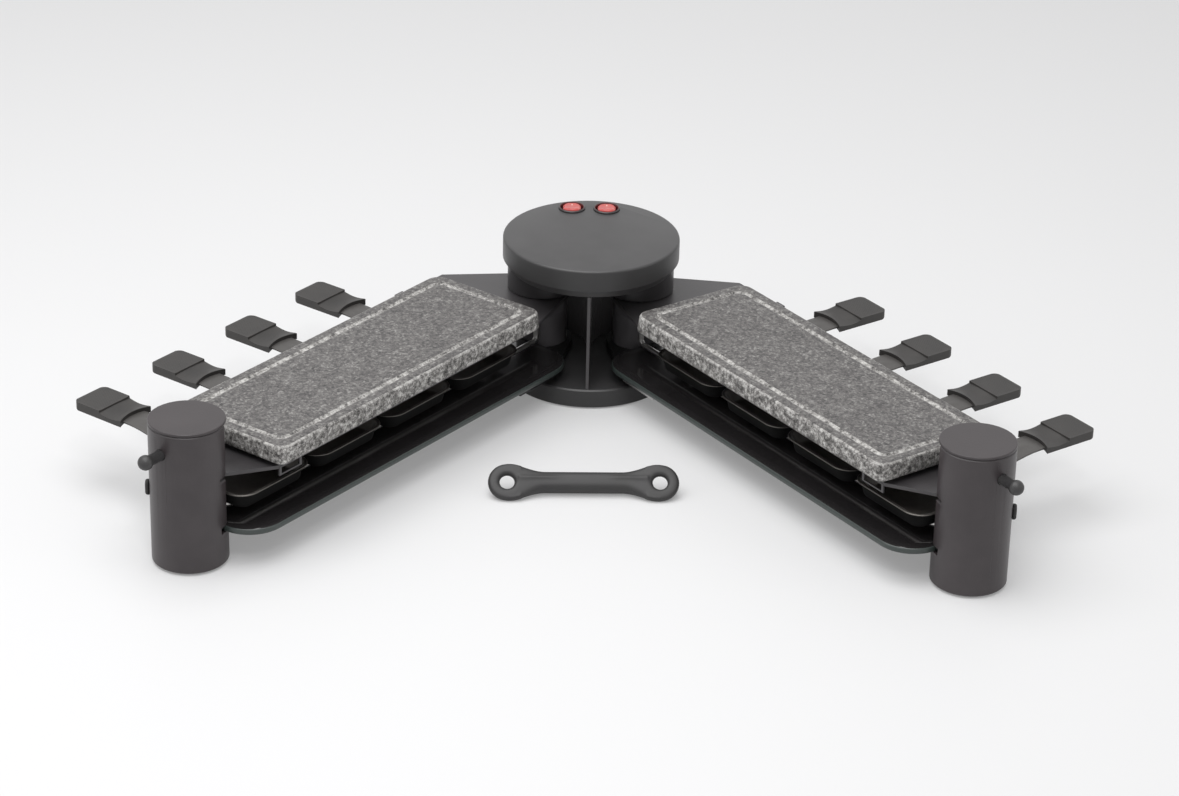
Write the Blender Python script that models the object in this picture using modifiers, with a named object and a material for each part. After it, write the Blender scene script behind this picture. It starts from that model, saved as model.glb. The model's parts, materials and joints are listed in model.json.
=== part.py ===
"""Folding raclette grill: a round switch drum with two hinged arms, each with a heated hood over
four pans, a granite slab above, a glass tray below and a tubular leg at its end.

Lengths are in metres, +Z is up and the origin is under the middle of the drum. In an arm's own
frame +X runs from the hinge to the leg, and the pan grips point to the side given by `side`.
"""

import math

import bmesh
import bpy
from mathutils import Matrix, Vector
from mathutils.geometry import convex_hull_2d

# Clearances and counts
GAP = 0.0003
OVERRUN = 0.004
WELD = 0.000002
ROUND_STEPS = 40
SMALL_STEPS = 20
ARC_STEPS = 6
SMOOTH_ANGLE = math.radians(35)

# Drum
DRUM_RADIUS = 0.0706
BASE_TOP = 0.0168
BASE_WALL = 0.0030
BASE_EDGE = 0.0012
FOOT_PROUD = 0.0010
FOOT_DEPTH = 0.0040
BASE_PLATE = 0.0030
CAP_PROUD = 0.0041
CAP_TOP = 0.1283
CAP_HEIGHT = 0.0183
CAP_WALL = 0.0028
CAP_EDGE = 0.0022
CAP_FLOOR_DEPTH = 0.0070
CAP_FLOOR_INSET = 0.0012
CAP_FLOOR_TAPER = 0.0040
WEB_THICKNESS = 0.0026
FLARE_WIDTH = 0.0206
FLARE_START = 0.0080
FLARE_STOP = 0.0360
FLARE_RIBS = 5
WALL_FRONT = 0.0390
WALL_HALF = 0.0250
WALL_BACK = 0.0520
DUCT_HALF = 0.0180
DUCT_FRONT = 0.0415
DUCT_BACK = 0.0460
DUCT_CORNER = 0.0020

# Switches
SWITCH_SPACING = 0.0298
SWITCH_TO_EDGE = 0.0190
SWITCH_ASIDE = 0.0030
BEZEL_RADIUS = 0.0115
BEZEL_HEIGHT = 0.0018
SWITCH_BODY_RADIUS = 0.0098
SWITCH_DEPTH = 0.0120
ROCKER_WIDTH = 0.0150
ROCKER_LENGTH = 0.0165
ROCKER_HEIGHT = 0.0058
ROCKER_CORNER = 0.0040
ROCKER_TILT = math.radians(6)
ROCKER_SWING = math.radians(2)
TERMINAL_LENGTH = 0.0400
TERMINAL_WIDTH = 0.0160
TERMINAL_HEIGHT = 0.0100
TERMINAL_EDGE = 0.0010
GLAND_HEIGHT = 0.0088
GLAND_RADIUS = 0.0050
GLAND_BORE = 0.0034
GLAND_FLANGE = 0.0066
GLAND_FLANGE_LENGTH = 0.0026
GLAND_TAIL = 0.0060

# Hinges
HINGE_X = 0.0412
HINGE_Y = 0.0101
PIN_RADIUS = 0.0080
PIN_WALL = 0.0015
HUB_RADIUS = 0.0215
BARREL_RADIUS = 0.0295
BARREL_WALL = 0.0025
BARREL_EDGE = 0.0008
HALF_ANGLE = math.radians(36.12)

# Arm heights
TRAY_BOTTOM = 0.0283
TRAY_THICKNESS = 0.0050
PAN_BOTTOM = 0.0460
PAN_DEPTH = 0.0140
HOOD_TOP = 0.0753
SLAB_BOTTOM = 0.0800
SLAB_THICKNESS = 0.0152

# Leg
LEG_RADIUS = 0.0300
LEG_WALL = 0.0025
LEG_HEIGHT = 0.1214
LEG_CAP_THICKNESS = 0.0022
LEG_CAP_EDGE = 0.0005
LEG_PLUG_DEPTH = 0.0030
LEG_FOOT_RADIUS = 0.0250
LEG_EDGE = 0.0012
LEG_SLOT = 0.0040
CORE_RADIUS = 0.0060
CORE_SHOULDER = 0.0090
CORE_SHOULDER_DEPTH = 0.0060
CORE_SHELF = 0.0150
CORE_SHELF_DEPTH = 0.0030
PEG_DROP = 0.0204
PEG_LENGTH = 0.0160
PEG_STEM = 0.0043
PEG_BALL = 0.0060
PEG_NUT = 0.0070
PEG_NUT_DEPTH = 0.0030
STUD_DROP = 0.0604
STUD_LENGTH = 0.0130
STUD_WIDTH = 0.0080
STUD_PROUD = 0.0030
STUD_TURN = math.radians(53)

# Hood
HOOD_SHEET = 0.0015
HOOD_LIP = 0.0030
HOOD_FRONT = 0.0470
HOOD_BACK = 0.0800
HOOD_END = 0.0270
HOOD_TIP = 0.0110
HOOD_FRONT_START = 0.0750
HOOD_BACK_START = 0.0370
HOOD_FRONT_TO_LEG = 0.0509
HOOD_BACK_TO_LEG = 0.0559
REST_WIDTH = 0.0100
STIRRUP_LENGTH = 0.0260
STIRRUP_DROP = 0.0094
STIRRUP_BAR = 0.0026
STIRRUP_SHEET = 0.0014

# Hinge box
BOX_BOTTOM = 0.0600
BOX_LENGTH = 0.0450
BOX_HALF = 0.0240
BOX_WALL = 0.0020

# Heater and pan rail
HEATER_RADIUS = 0.00325
HEATER_HALF = 0.0160
HEATER_HEIGHT = 0.0676
HEATER_TO_LEG = 0.0459
HEATER_TAIL = 0.0080
RAIL_RADIUS = 0.0025
RAIL_TO_LEG = 0.0129
RAIL_INSET = 0.0100

# Tray and its bracket
TRAY_START = 0.0225
TRAY_HALF = 0.0575
TRAY_CORNER = 0.0300
TRAY_END_GAP = 0.0035
TRAY_EDGE = 0.0006
BRACKET_SHEET = 0.0015
BRACKET_LIP = 0.0070
BRACKET_END = 0.0265
BRACKET_START = 0.0460
BRACKET_STOP = 0.0920
BRACKET_HALF = 0.0500

# Slab
SLAB_START = 0.0720
SLAB_TO_LEG = 0.0439
SLAB_HALF = 0.0575
SLAB_CORNER = 0.0080
SLAB_EDGE = 0.0015
GROOVE_INSET = 0.0100
GROOVE_WIDTH = 0.0045
GROOVE_CORNER = 0.0110
GROOVE_DEPTH = 0.0014

# Pans
PAN_COUNT = 4
PAN_START = 0.0804
PAN_LENGTH = 0.0840
PAN_SPACE = 0.0038
PAN_TO_LEG = 0.0131
PAN_FRONT = 0.0445
PAN_BACK = 0.0475
PAN_CORNER = 0.0160
PAN_RIM = 0.0030
PAN_SHEET = 0.0012
PAN_DRAFT_SHARE = 0.92
STEM_HALF = 0.0125
STEM_SHEET = 0.0016
STEM_RISE_START = 0.0600
STEM_RISE_STOP = 0.0980
GRIP_START = 0.1080
GRIP_LENGTH = 0.0520
GRIP_WIDTH = 0.0350
GRIP_TOP = 0.0700
GRIP_THICKNESS = 0.0062
GRIP_STEP = 0.0012
GRIP_SADDLE = 0.0020
GRIP_PAD_LENGTH = 0.0285
GRIP_STEP_RUN = 0.0010
GRIP_CORNER = 0.0055
GRIP_CORNER_STEPS = 3
GRIP_EDGE = 0.0006
GRIP_SOCKET = 0.0200
STEM_END_GAP = 0.0010

# Carry handle
HANDLE_X = 0.0008
HANDLE_AHEAD = 0.2250
HANDLE_TURN = math.radians(2.8)
HANDLE_TILT = math.radians(40)
HANDLE_SPACING = 0.1230
HANDLE_HOLE = 0.0070
HANDLE_EYE = 0.0155
HANDLE_EYE_THICKNESS = 0.0070
HANDLE_EYE_MEET = math.radians(61)
HANDLE_STRAIGHT = 0.0310
HANDLE_GRIP_WIDTH = 0.0165
HANDLE_GRIP_THICKNESS = 0.0148
HANDLE_GRIP_UP = 0.0017
HANDLE_GRIP_BACK = 0.0043
HANDLE_ROUNDING_SHARE = 0.65

# Places worked out from the sizes above
CAP_RADIUS = DRUM_RADIUS + CAP_PROUD
CAP_FLOOR_RIM = CAP_RADIUS - CAP_FLOOR_INSET
CAP_FLOOR_RADIUS = CAP_FLOOR_RIM - CAP_FLOOR_TAPER
SWITCH_BACK = CAP_RADIUS - SWITCH_TO_EDGE
PAN_PITCH = PAN_LENGTH + PAN_SPACE
PAN_FIRST = PAN_START + PAN_LENGTH / 2
ARM_REACH = PAN_START + PAN_COUNT * PAN_PITCH - PAN_SPACE + PAN_TO_LEG
SLAB_STOP = ARM_REACH - SLAB_TO_LEG
HOOD_FRONT_STOP = ARM_REACH - HOOD_FRONT_TO_LEG
HOOD_BACK_STOP = ARM_REACH - HOOD_BACK_TO_LEG
HEATER_STOP = ARM_REACH - HEATER_TO_LEG
RAIL_STOP = ARM_REACH - RAIL_TO_LEG
PEG_HEIGHT = LEG_HEIGHT - PEG_DROP
STUD_HEIGHT = LEG_HEIGHT - STUD_DROP
CAP_BOTTOM = CAP_TOP - CAP_HEIGHT
CAP_FLOOR_TOP = CAP_BOTTOM - GAP
CAP_FLOOR_BOTTOM = CAP_FLOOR_TOP - CAP_FLOOR_DEPTH
DECK = BASE_TOP + GAP
CEILING = CAP_FLOOR_BOTTOM - GAP
HOOD_UNDER = HOOD_TOP - HOOD_SHEET
PIN_BORE = PIN_RADIUS + GAP
PAN_RIM_TOP = PAN_BOTTOM + PAN_DEPTH
LEG_CUT = TRAY_BOTTOM - GAP
LEG_RIM = LEG_HEIGHT - LEG_CAP_THICKNESS - GAP
LEG_BORE = LEG_RADIUS - LEG_WALL
CORE_BORE = CORE_RADIUS + GAP
RAIL_HEIGHT = PAN_BOTTOM - GAP - RAIL_RADIUS

SIDES = {"left": -1, "right": 1}


def clear_scene():
    """Removes whatever the scene starts with."""
    for obj in list(bpy.data.objects):
        bpy.data.objects.remove(obj)


def new_collection(name, hidden=False):
    collection = bpy.data.collections.new(name)
    collection.hide_render = hidden
    bpy.context.scene.collection.children.link(collection)
    return collection


clear_scene()
PARTS = new_collection("raclette_grill")
CUTTERS = new_collection("cutters", hidden=True)


def material(name, colour, roughness, metallic=0.0):
    """A Principled BSDF of one colour."""
    made = bpy.data.materials.new(name)
    made.use_nodes = True
    shader = made.node_tree.nodes["Principled BSDF"]
    shader.inputs["Base Color"].default_value = (*colour, 1.0)
    shader.inputs["Roughness"].default_value = roughness
    shader.inputs["Metallic"].default_value = metallic
    return made


def satin_black():
    return material("satin_black", (0.045, 0.043, 0.045), 0.45)


def painted_black():
    return material("painted_black", (0.055, 0.052, 0.054), 0.42, 0.2)


def coated_steel():
    return material("coated_steel", (0.10, 0.095, 0.09), 0.38, 0.5)


def bare_steel():
    return material("bare_steel", (0.62, 0.61, 0.60), 0.30, 1.0)


def black_glass():
    return material("black_glass", (0.012, 0.014, 0.014), 0.06)


def granite():
    return material("granite", (0.22, 0.22, 0.21), 0.55)


def black_rubber():
    return material("black_rubber", (0.03, 0.03, 0.03), 0.8)


def grip_plastic():
    return material("grip_plastic", (0.06, 0.056, 0.052), 0.5)


def switch_red():
    return material("switch_red", (0.62, 0.05, 0.04), 0.3)


MATERIALS = {
    make.__name__: make()
    for make in (
        satin_black, painted_black, coated_steel, bare_steel, black_glass,
        granite, black_rubber, grip_plastic, switch_red,
    )
}


# Shapes


def place(name, mesh, finish=None, parent=None, at=(0, 0, 0), turn=0.0):
    """Puts a mesh in the scene: a part if it has a finish, a cutter if it has none."""
    obj = bpy.data.objects.new(name, mesh)
    obj.location = at
    obj.rotation_euler = (0, 0, turn)
    obj.parent = parent
    if finish is None:
        obj.hide_render = True
        obj.display_type = "WIRE"
        CUTTERS.objects.link(obj)
    else:
        mesh.materials.append(MATERIALS[finish])
        PARTS.objects.link(obj)
    return obj


def mesh_from(name, edited):
    """A mesh with outward faces from an edited one, which is freed."""
    bmesh.ops.recalc_face_normals(edited, faces=edited.faces)
    if edited.calc_volume(signed=True) < 0:
        bmesh.ops.reverse_faces(edited, faces=edited.faces)
    mesh = bpy.data.meshes.new(name)
    edited.to_mesh(mesh)
    edited.free()
    mesh.shade_smooth()
    mesh.set_sharp_from_angle(angle=SMOOTH_ANGLE)
    return mesh


def box_mesh(name, low, high):
    """A box between two corners."""
    edited = bmesh.new()
    bmesh.ops.create_cube(edited, size=1.0)
    low, high = Vector(low), Vector(high)
    edited.transform(Matrix.Translation((low + high) / 2) @ Matrix.Diagonal((*(high - low), 1)))
    return mesh_from(name, edited)


def rod_mesh(name, radius, start, end, steps=SMALL_STEPS):
    """A plain rod from one point to another."""
    start, end = Vector(start), Vector(end)
    edited = bmesh.new()
    bmesh.ops.create_cone(
        edited, cap_ends=True, segments=steps, radius1=radius, radius2=radius,
        depth=(end - start).length,
    )
    along = (end - start).to_track_quat("Z", "Y").to_matrix().to_4x4()
    edited.transform(Matrix.Translation((start + end) / 2) @ along)
    return mesh_from(name, edited)


def flat_mesh(name, loops, low, high):
    """Flat outlines filled as one face, with holes where a loop lies in another, and made thick."""
    curve = bpy.data.curves.new(name, "CURVE")
    curve.dimensions = "2D"
    curve.fill_mode = "BOTH"
    curve.extrude = (high - low) / 2
    for loop in loops:
        spline = curve.splines.new("POLY")
        spline.points.add(len(loop) - 1)
        for point, (x, y) in zip(spline.points, loop):
            point.co = (x, y, 0, 1)
        spline.use_cyclic_u = True
    return mesh_of_curve(name, curve, Matrix.Translation((0, 0, (low + high) / 2)))


def mesh_of_curve(name, curve, matrix):
    """The welded mesh of a curve, moved by a matrix. The curve is removed."""
    obj = bpy.data.objects.new(name, curve)
    bpy.context.scene.collection.objects.link(obj)
    graph = bpy.context.evaluated_depsgraph_get()
    edited = bmesh.new()
    raw = bpy.data.meshes.new_from_object(obj.evaluated_get(graph))
    edited.from_mesh(raw)
    bpy.data.meshes.remove(raw)
    bpy.data.objects.remove(obj)
    bmesh.ops.remove_doubles(edited, verts=edited.verts, dist=WELD)
    edited.transform(matrix)
    return mesh_from(name, edited)


def wire_mesh(name, radius, points, resolution=2):
    """A round wire along points."""
    curve = bpy.data.curves.new(name, "CURVE")
    curve.dimensions = "3D"
    curve.bevel_depth = radius
    curve.bevel_resolution = resolution
    curve.use_fill_caps = True
    spline = curve.splines.new("POLY")
    spline.points.add(len(points) - 1)
    for point, place_of in zip(spline.points, points):
        point.co = (*place_of, 1)
    return mesh_of_curve(name, curve, Matrix.Identity(4))


def turned_mesh(name, profile, ring=False):
    """A profile of (radius, height) points, from the top down its outer side, as a chain of edges."""
    edited = bmesh.new()
    verts = [edited.verts.new((radius, 0, height)) for radius, height in profile]
    pairs = list(zip(verts, verts[1:]))
    if ring:
        pairs.append((verts[-1], verts[0]))
    for pair in pairs:
        edited.edges.new(pair)
    mesh = bpy.data.meshes.new(name)
    edited.to_mesh(mesh)
    edited.free()
    return mesh


def screw(obj, steps=ROUND_STEPS):
    """Turns a profile round its object's Z axis."""
    modifier = obj.modifiers.new("screw", "SCREW")
    modifier.steps = steps
    modifier.render_steps = steps
    modifier.use_merge_vertices = True
    modifier.merge_threshold = WELD
    modifier.use_smooth_shade = True
    return obj


def turned(name, profile, finish, parent=None, at=(0, 0, 0), ring=False, steps=ROUND_STEPS):
    mesh = turned_mesh(name, profile, ring)
    return screw(place(name, mesh, finish, parent, at), steps)


def pipe_profile(radius, bore, low, high, edge=0.0):
    """A tube's profile with its outer corners taken off by `edge`."""
    profile = [(bore, high), (radius - edge, high), (radius, high - edge)]
    profile += [(radius, low + edge), (radius - edge, low), (bore, low)]
    return profile if edge else [(bore, high), (radius, high), (radius, low), (bore, low)]


def arc(x, y, radius, start, stop, steps=ARC_STEPS):
    """Points on a circle between two angles in radians."""
    turns = [start + (stop - start) * i / steps for i in range(steps + 1)]
    return [(x + radius * math.cos(turn), y + radius * math.sin(turn)) for turn in turns]


def circle(x, y, radius, steps=ROUND_STEPS):
    return arc(x, y, radius, 0, math.tau * (steps - 1) / steps, steps - 1)


def rounded(low, high, corner, steps=ARC_STEPS):
    """A rounded rectangle between two corners."""
    (x0, y0), (x1, y1) = low, high
    centres = [(x1, y1, 0), (x0, y1, 1), (x0, y0, 2), (x1, y0, 3)]
    points = []
    for x, y, quarter in centres:
        inner_x = x - corner if x == x1 else x + corner
        inner_y = y - corner if y == y1 else y + corner
        start = quarter * math.pi / 2
        points += arc(inner_x, inner_y, corner, start, start + math.pi / 2, steps)
    return points


def hull(points):
    """The convex outline round the points."""
    return [points[i] for i in convex_hull_2d(points)]


def mirrored(points, side):
    """Outline points with their second value turned to the arm's grip side."""
    return [(x, side * y) for x, y in points]


def boolean(obj, other, operation):
    modifier = obj.modifiers.new(operation.lower(), "BOOLEAN")
    modifier.operation = operation
    modifier.object = other
    modifier.solver = "EXACT"


def cut(obj, mesh, at=(0, 0, 0), turn=0.0):
    """Cuts a mesh, placed in the object's parent's frame, out of the object."""
    other = place("cut_" + obj.name, mesh, None, obj.parent, at, turn)
    boolean(obj, other, "DIFFERENCE")
    return other


def join(obj, mesh, at=(0, 0, 0)):
    """Joins a mesh, placed in the object's parent's frame, to the object."""
    other = place("join_" + obj.name, mesh, None, obj.parent, at)
    boolean(obj, other, "UNION")
    return other


def bevel(obj, width, segments=2, angle=math.radians(40)):
    modifier = obj.modifiers.new("bevel", "BEVEL")
    modifier.width = width
    modifier.segments = segments
    modifier.limit_method = "ANGLE"
    modifier.angle_limit = angle
    modifier.use_clamp_overlap = True


def pressed_sheet(name, outline, top, lip):
    """A flat face with its border turned down, for Solidify to thicken inwards."""
    edited = bmesh.new()
    face = edited.faces.new([edited.verts.new((x, y, top)) for x, y in outline])
    turned_down = bmesh.ops.extrude_edge_only(edited, edges=face.edges)
    moved = [item for item in turned_down["geom"] if isinstance(item, bmesh.types.BMVert)]
    bmesh.ops.translate(edited, verts=moved, vec=(0, 0, -lip))
    bmesh.ops.recalc_face_normals(edited, faces=edited.faces)
    face.normal_update()
    if face.normal.z < 0:
        bmesh.ops.reverse_faces(edited, faces=edited.faces)
    mesh = bpy.data.meshes.new(name)
    edited.to_mesh(mesh)
    edited.free()
    return mesh


def solidify(obj, thickness):
    modifier = obj.modifiers.new("solidify", "SOLIDIFY")
    modifier.thickness = thickness
    modifier.offset = -1
    modifier.use_even_offset = True


# Drum


def base():
    """The drum's foot: a shallow shell that is open below."""
    inside = DRUM_RADIUS - BASE_WALL
    profile = [(0, BASE_TOP), (DRUM_RADIUS - BASE_EDGE, BASE_TOP), (DRUM_RADIUS, BASE_TOP - BASE_EDGE)]
    profile += [(DRUM_RADIUS, FOOT_PROUD), (inside, FOOT_PROUD)]
    profile += [(inside, BASE_TOP - BASE_WALL), (0, BASE_TOP - BASE_WALL)]
    shell = turned("base", profile, "satin_black", steps=2 * ROUND_STEPS)
    start = (0, inside - OVERRUN, GLAND_HEIGHT)
    end = (0, DRUM_RADIUS + OVERRUN, GLAND_HEIGHT)
    cut(shell, rod_mesh("gland_hole", GLAND_RADIUS + GAP, start, end))


def base_plate():
    """The flat bottom that closes the base."""
    outside = DRUM_RADIUS - BASE_WALL - GAP
    profile = [(0, BASE_PLATE), (outside, BASE_PLATE), (outside, BASE_PLATE - BASE_EDGE)]
    profile += [(outside - BASE_EDGE, 0), (0, 0)]
    turned("base_plate", profile, "satin_black", steps=2 * ROUND_STEPS)


def column_outline():
    """The column in plan: a thin web in front that widens in steps to a wall behind the hinges."""
    web = WEB_THICKNESS / 2
    reach = FLARE_STOP - FLARE_START
    right = [(web, BASE_EDGE - DRUM_RADIUS)]
    out = web
    for i in range(1, FLARE_RIBS + 1):
        share = i / FLARE_RIBS
        along = FLARE_START + reach * math.sqrt(share)
        right.append((out, along))
        out = web + (FLARE_WIDTH / 2 - web) * share
        right.append((out, along))
    right += [(out, WALL_FRONT), (WALL_HALF, WALL_FRONT)]
    turn = math.acos(WALL_HALF / WALL_BACK)
    behind = arc(0, 0, WALL_BACK, turn, math.pi - turn, 2 * ARC_STEPS)
    left = [(-x, y) for x, y in reversed(right)]
    return right + behind + left


def column():
    """Ties the base to the cap. The wires run up through it, and its web parts the two arms."""
    duct = rounded((-DUCT_HALF, DUCT_FRONT), (DUCT_HALF, DUCT_BACK), DUCT_CORNER)
    mesh = flat_mesh("column", [column_outline(), duct], DECK, CEILING)
    place("column", mesh, "satin_black")


def cap_floor():
    """Closes the switch chamber from below, with a bevelled rim under the cap's skirt."""
    profile = [(0, CAP_FLOOR_TOP), (CAP_FLOOR_RIM, CAP_FLOOR_TOP)]
    profile += [(CAP_FLOOR_RADIUS, CAP_FLOOR_BOTTOM), (0, CAP_FLOOR_BOTTOM)]
    turned("cap_floor", profile, "satin_black", steps=2 * ROUND_STEPS)


def cap():
    """The round lid that holds both switches."""
    inside = CAP_RADIUS - CAP_WALL
    profile = [(0, CAP_TOP), (CAP_RADIUS - CAP_EDGE, CAP_TOP)]
    profile += arc(
        CAP_RADIUS - CAP_EDGE, CAP_TOP - CAP_EDGE, CAP_EDGE, math.pi / 3, 0, ARC_STEPS // 3
    )
    profile += [(CAP_RADIUS, CAP_BOTTOM), (inside, CAP_BOTTOM)]
    profile += [(inside, CAP_TOP - CAP_WALL), (0, CAP_TOP - CAP_WALL)]
    lid = turned("cap", profile, "satin_black", steps=2 * ROUND_STEPS)
    for side in SIDES.values():
        x = side * SWITCH_SPACING / 2 - SWITCH_ASIDE
        start = (x, SWITCH_BACK, CAP_TOP - CAP_WALL - OVERRUN)
        end = (x, SWITCH_BACK, CAP_TOP + OVERRUN)
        cut(lid, rod_mesh("switch_hole", SWITCH_BODY_RADIUS + GAP, start, end, ROUND_STEPS))


def switch(name, side):
    """A switch body with its round bezel on the cap and a well for the rocker."""
    at = (side * SWITCH_SPACING / 2 - SWITCH_ASIDE, SWITCH_BACK, CAP_TOP)
    profile = [(0, BEZEL_HEIGHT), (BEZEL_RADIUS - BEZEL_HEIGHT, BEZEL_HEIGHT), (BEZEL_RADIUS, GAP)]
    profile += [(SWITCH_BODY_RADIUS, GAP), (SWITCH_BODY_RADIUS, -SWITCH_DEPTH), (0, -SWITCH_DEPTH)]
    body = turned("switch_" + name, profile, "satin_black", at=at)
    width, length = ROCKER_WIDTH / 2 + GAP, ROCKER_LENGTH / 2 + GAP
    well = rounded((-width, -length), (width, length), ROCKER_CORNER)
    floor = -ROCKER_HEIGHT
    cut(body, flat_mesh("rocker_well", [well], floor, BEZEL_HEIGHT + OVERRUN), at)


def rocker(name, side):
    """The red key, on its own axis across the switch. It rests with its rear edge down."""
    at = (side * SWITCH_SPACING / 2 - SWITCH_ASIDE, SWITCH_BACK, CAP_TOP)
    axis = place_empty("rocker_axis_" + name, at)
    axis.rotation_euler = (-ROCKER_TILT, 0, 0)
    room = ROCKER_LENGTH / 2 * math.sin(ROCKER_TILT + ROCKER_SWING)
    length = ROCKER_LENGTH / 2 - GAP
    width = ROCKER_WIDTH / 2
    outline = rounded((-width, -length), (width, length), ROCKER_CORNER)
    mesh = flat_mesh("rocker_" + name, [outline], -ROCKER_HEIGHT + room + GAP, BEZEL_HEIGHT + room)
    key = place("rocker_" + name, mesh, "switch_red", axis)
    bevel(key, BEZEL_HEIGHT / 2)


def terminal_block():
    """Where the mains lead meets the switches and both heaters, on the cap's floor."""
    length, width = TERMINAL_LENGTH / 2, TERMINAL_WIDTH / 2
    low = (-length, -width, CAP_FLOOR_TOP + GAP)
    high = (length, width, CAP_FLOOR_TOP + GAP + TERMINAL_HEIGHT)
    block = place("terminal_block", box_mesh("terminal_block", low, high), "satin_black")
    bevel(block, TERMINAL_EDGE, 1)


def cord_gland():
    """The bush in the back of the base that a mains lead comes in by."""
    tail = -BASE_WALL - GLAND_TAIL
    profile = [(GLAND_BORE, GLAND_FLANGE_LENGTH + GAP), (GLAND_RADIUS, GLAND_FLANGE_LENGTH + GAP)]
    profile += [(GLAND_FLANGE, GAP), (GLAND_RADIUS, GAP), (GLAND_RADIUS, tail), (GLAND_BORE, tail)]
    at = (0, DRUM_RADIUS, GLAND_HEIGHT)
    gland = turned("cord_gland", profile, "black_rubber", at=at, ring=True, steps=SMALL_STEPS)
    gland.rotation_euler = (-math.pi / 2, 0, 0)


def hinge_pin(name, side):
    """A fixed steel tube from the base to the cap's floor. Its arm turns on it."""
    profile = pipe_profile(PIN_RADIUS, PIN_RADIUS - PIN_WALL, DECK, CEILING)
    at = (side * HINGE_X, HINGE_Y, 0)
    turned("hinge_pin_" + name, profile, "bare_steel", at=at, ring=True, steps=SMALL_STEPS)


def place_empty(name, at, turn=0.0):
    empty = bpy.data.objects.new(name, None)
    empty.location = at
    empty.rotation_euler = (0, 0, turn)
    PARTS.objects.link(empty)
    return empty


# Arm


def hinge_barrel(name, arm):
    """The wide drum of the arm's hinge, a cup that is open to the cap's floor."""
    low = HOOD_TOP + GAP
    profile = [(BARREL_RADIUS - BARREL_WALL, CEILING), (BARREL_RADIUS, CEILING)]
    profile += [(BARREL_RADIUS, low + BARREL_EDGE), (BARREL_RADIUS - BARREL_EDGE, low)]
    profile += [(PIN_BORE, low), (PIN_BORE, low + BARREL_WALL)]
    profile += [(BARREL_RADIUS - BARREL_WALL, low + BARREL_WALL)]
    turned("hinge_barrel_" + name, profile, "satin_black", arm, ring=True)


def hinge_box(name, arm):
    """The hub that turns on the pin, and the box that the heater's ends come into."""
    low = (0, -BOX_HALF, BOX_BOTTOM)
    high = (BOX_LENGTH, BOX_HALF, HOOD_UNDER - GAP)
    box = place("hinge_box_" + name, box_mesh("hinge_box", low, high), "satin_black", arm)
    room_low = (HUB_RADIUS + BOX_WALL, BOX_WALL - BOX_HALF, BOX_BOTTOM + BOX_WALL)
    room_high = (BOX_LENGTH - BOX_WALL, BOX_HALF - BOX_WALL, HOOD_UNDER + OVERRUN)
    cut(box, box_mesh("box_room", room_low, room_high))
    hub = rod_mesh("hub", HUB_RADIUS, (0, 0, DECK), (0, 0, HOOD_UNDER - GAP), ROUND_STEPS)
    join(box, hub)
    bore = rod_mesh("hub_bore", PIN_BORE, (0, 0, DECK - OVERRUN), (0, 0, HOOD_TOP))
    cut(box, bore)
    for across in (-HEATER_HALF, HEATER_HALF):
        start = (BOX_LENGTH - BOX_WALL - OVERRUN, across, HEATER_HEIGHT)
        end = (BOX_LENGTH + OVERRUN, across, HEATER_HEIGHT)
        cut(box, rod_mesh("heater_hole", HEATER_RADIUS + GAP, start, end))


def hood_outline():
    """The hood in plan, drawn round the hinge and the leg's core."""
    points = circle(0, 0, HOOD_END) + circle(ARM_REACH, 0, HOOD_TIP, SMALL_STEPS)
    points += [(HOOD_BACK_START, HOOD_BACK), (HOOD_BACK_STOP, HOOD_BACK)]
    points += [(HOOD_FRONT_START, -HOOD_FRONT), (HOOD_FRONT_STOP, -HOOD_FRONT)]
    return hull(points)


def hood(name, side, arm):
    """The pressed cover over the pans, with two raised rests and a stirrup for the slab."""
    mesh = pressed_sheet("hood", mirrored(hood_outline(), side), HOOD_TOP, HOOD_LIP)
    cover = place("hood_" + name, mesh, "painted_black", arm)
    solidify(cover, HOOD_SHEET)
    rest_top = SLAB_BOTTOM - GAP
    inner, outer = sorted((-side * HOOD_FRONT, side * HOOD_BACK))
    for along in (SLAB_START + 2 * REST_WIDTH, SLAB_STOP - 3 * REST_WIDTH):
        low = (along, inner + HOOD_SHEET, HOOD_TOP - HOOD_SHEET / 2)
        high = (along + REST_WIDTH, outer - HOOD_SHEET, rest_top)
        join(cover, box_mesh("slab_rest", low, high))
    join(cover, stirrup(side, rest_top))
    for along, radius in ((0, PIN_BORE), (ARM_REACH, CORE_BORE)):
        start = (along, 0, HOOD_UNDER - OVERRUN)
        end = (along, 0, HOOD_TOP + OVERRUN)
        cut(cover, rod_mesh("hood_hole", radius, start, end))


def stirrup(side, top):
    """A sheet loop in the plane of the hood's front edge, with a window in it."""
    bottom = HOOD_TOP - STIRRUP_DROP
    stop = HOOD_FRONT_STOP - HOOD_SHEET / 2
    start = stop - STIRRUP_LENGTH
    outer = [(start, bottom), (stop, bottom), (stop, HOOD_UNDER), (stop - STIRRUP_LENGTH / 3, HOOD_UNDER)]
    outer += [(stop - STIRRUP_LENGTH / 2, top), (start, top)]
    low = bottom + STIRRUP_BAR / 2
    high = HOOD_UNDER - STIRRUP_BAR / 2
    window = [(start + STIRRUP_BAR, low), (stop - STIRRUP_BAR, low)]
    window += [(stop - STIRRUP_BAR, high), (start + STIRRUP_BAR, high)]
    mesh = flat_mesh("stirrup", [outer, window], -STIRRUP_SHEET / 2, STIRRUP_SHEET / 2)
    shift = -side * (HOOD_FRONT + GAP - STIRRUP_SHEET / 2)
    mesh.transform(Matrix.Translation((0, shift, 0)) @ Matrix.Rotation(math.pi / 2, 4, "X"))
    return mesh


def hairpin(start, stop, half, height):
    """Two straight runs joined by a half turn."""
    bend = arc(stop - half, 0, half, -math.pi / 2, math.pi / 2, 3 * ARC_STEPS)
    return [(start, -half, height)] + [(x, y, height) for x, y in bend] + [(start, half, height)]


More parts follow.
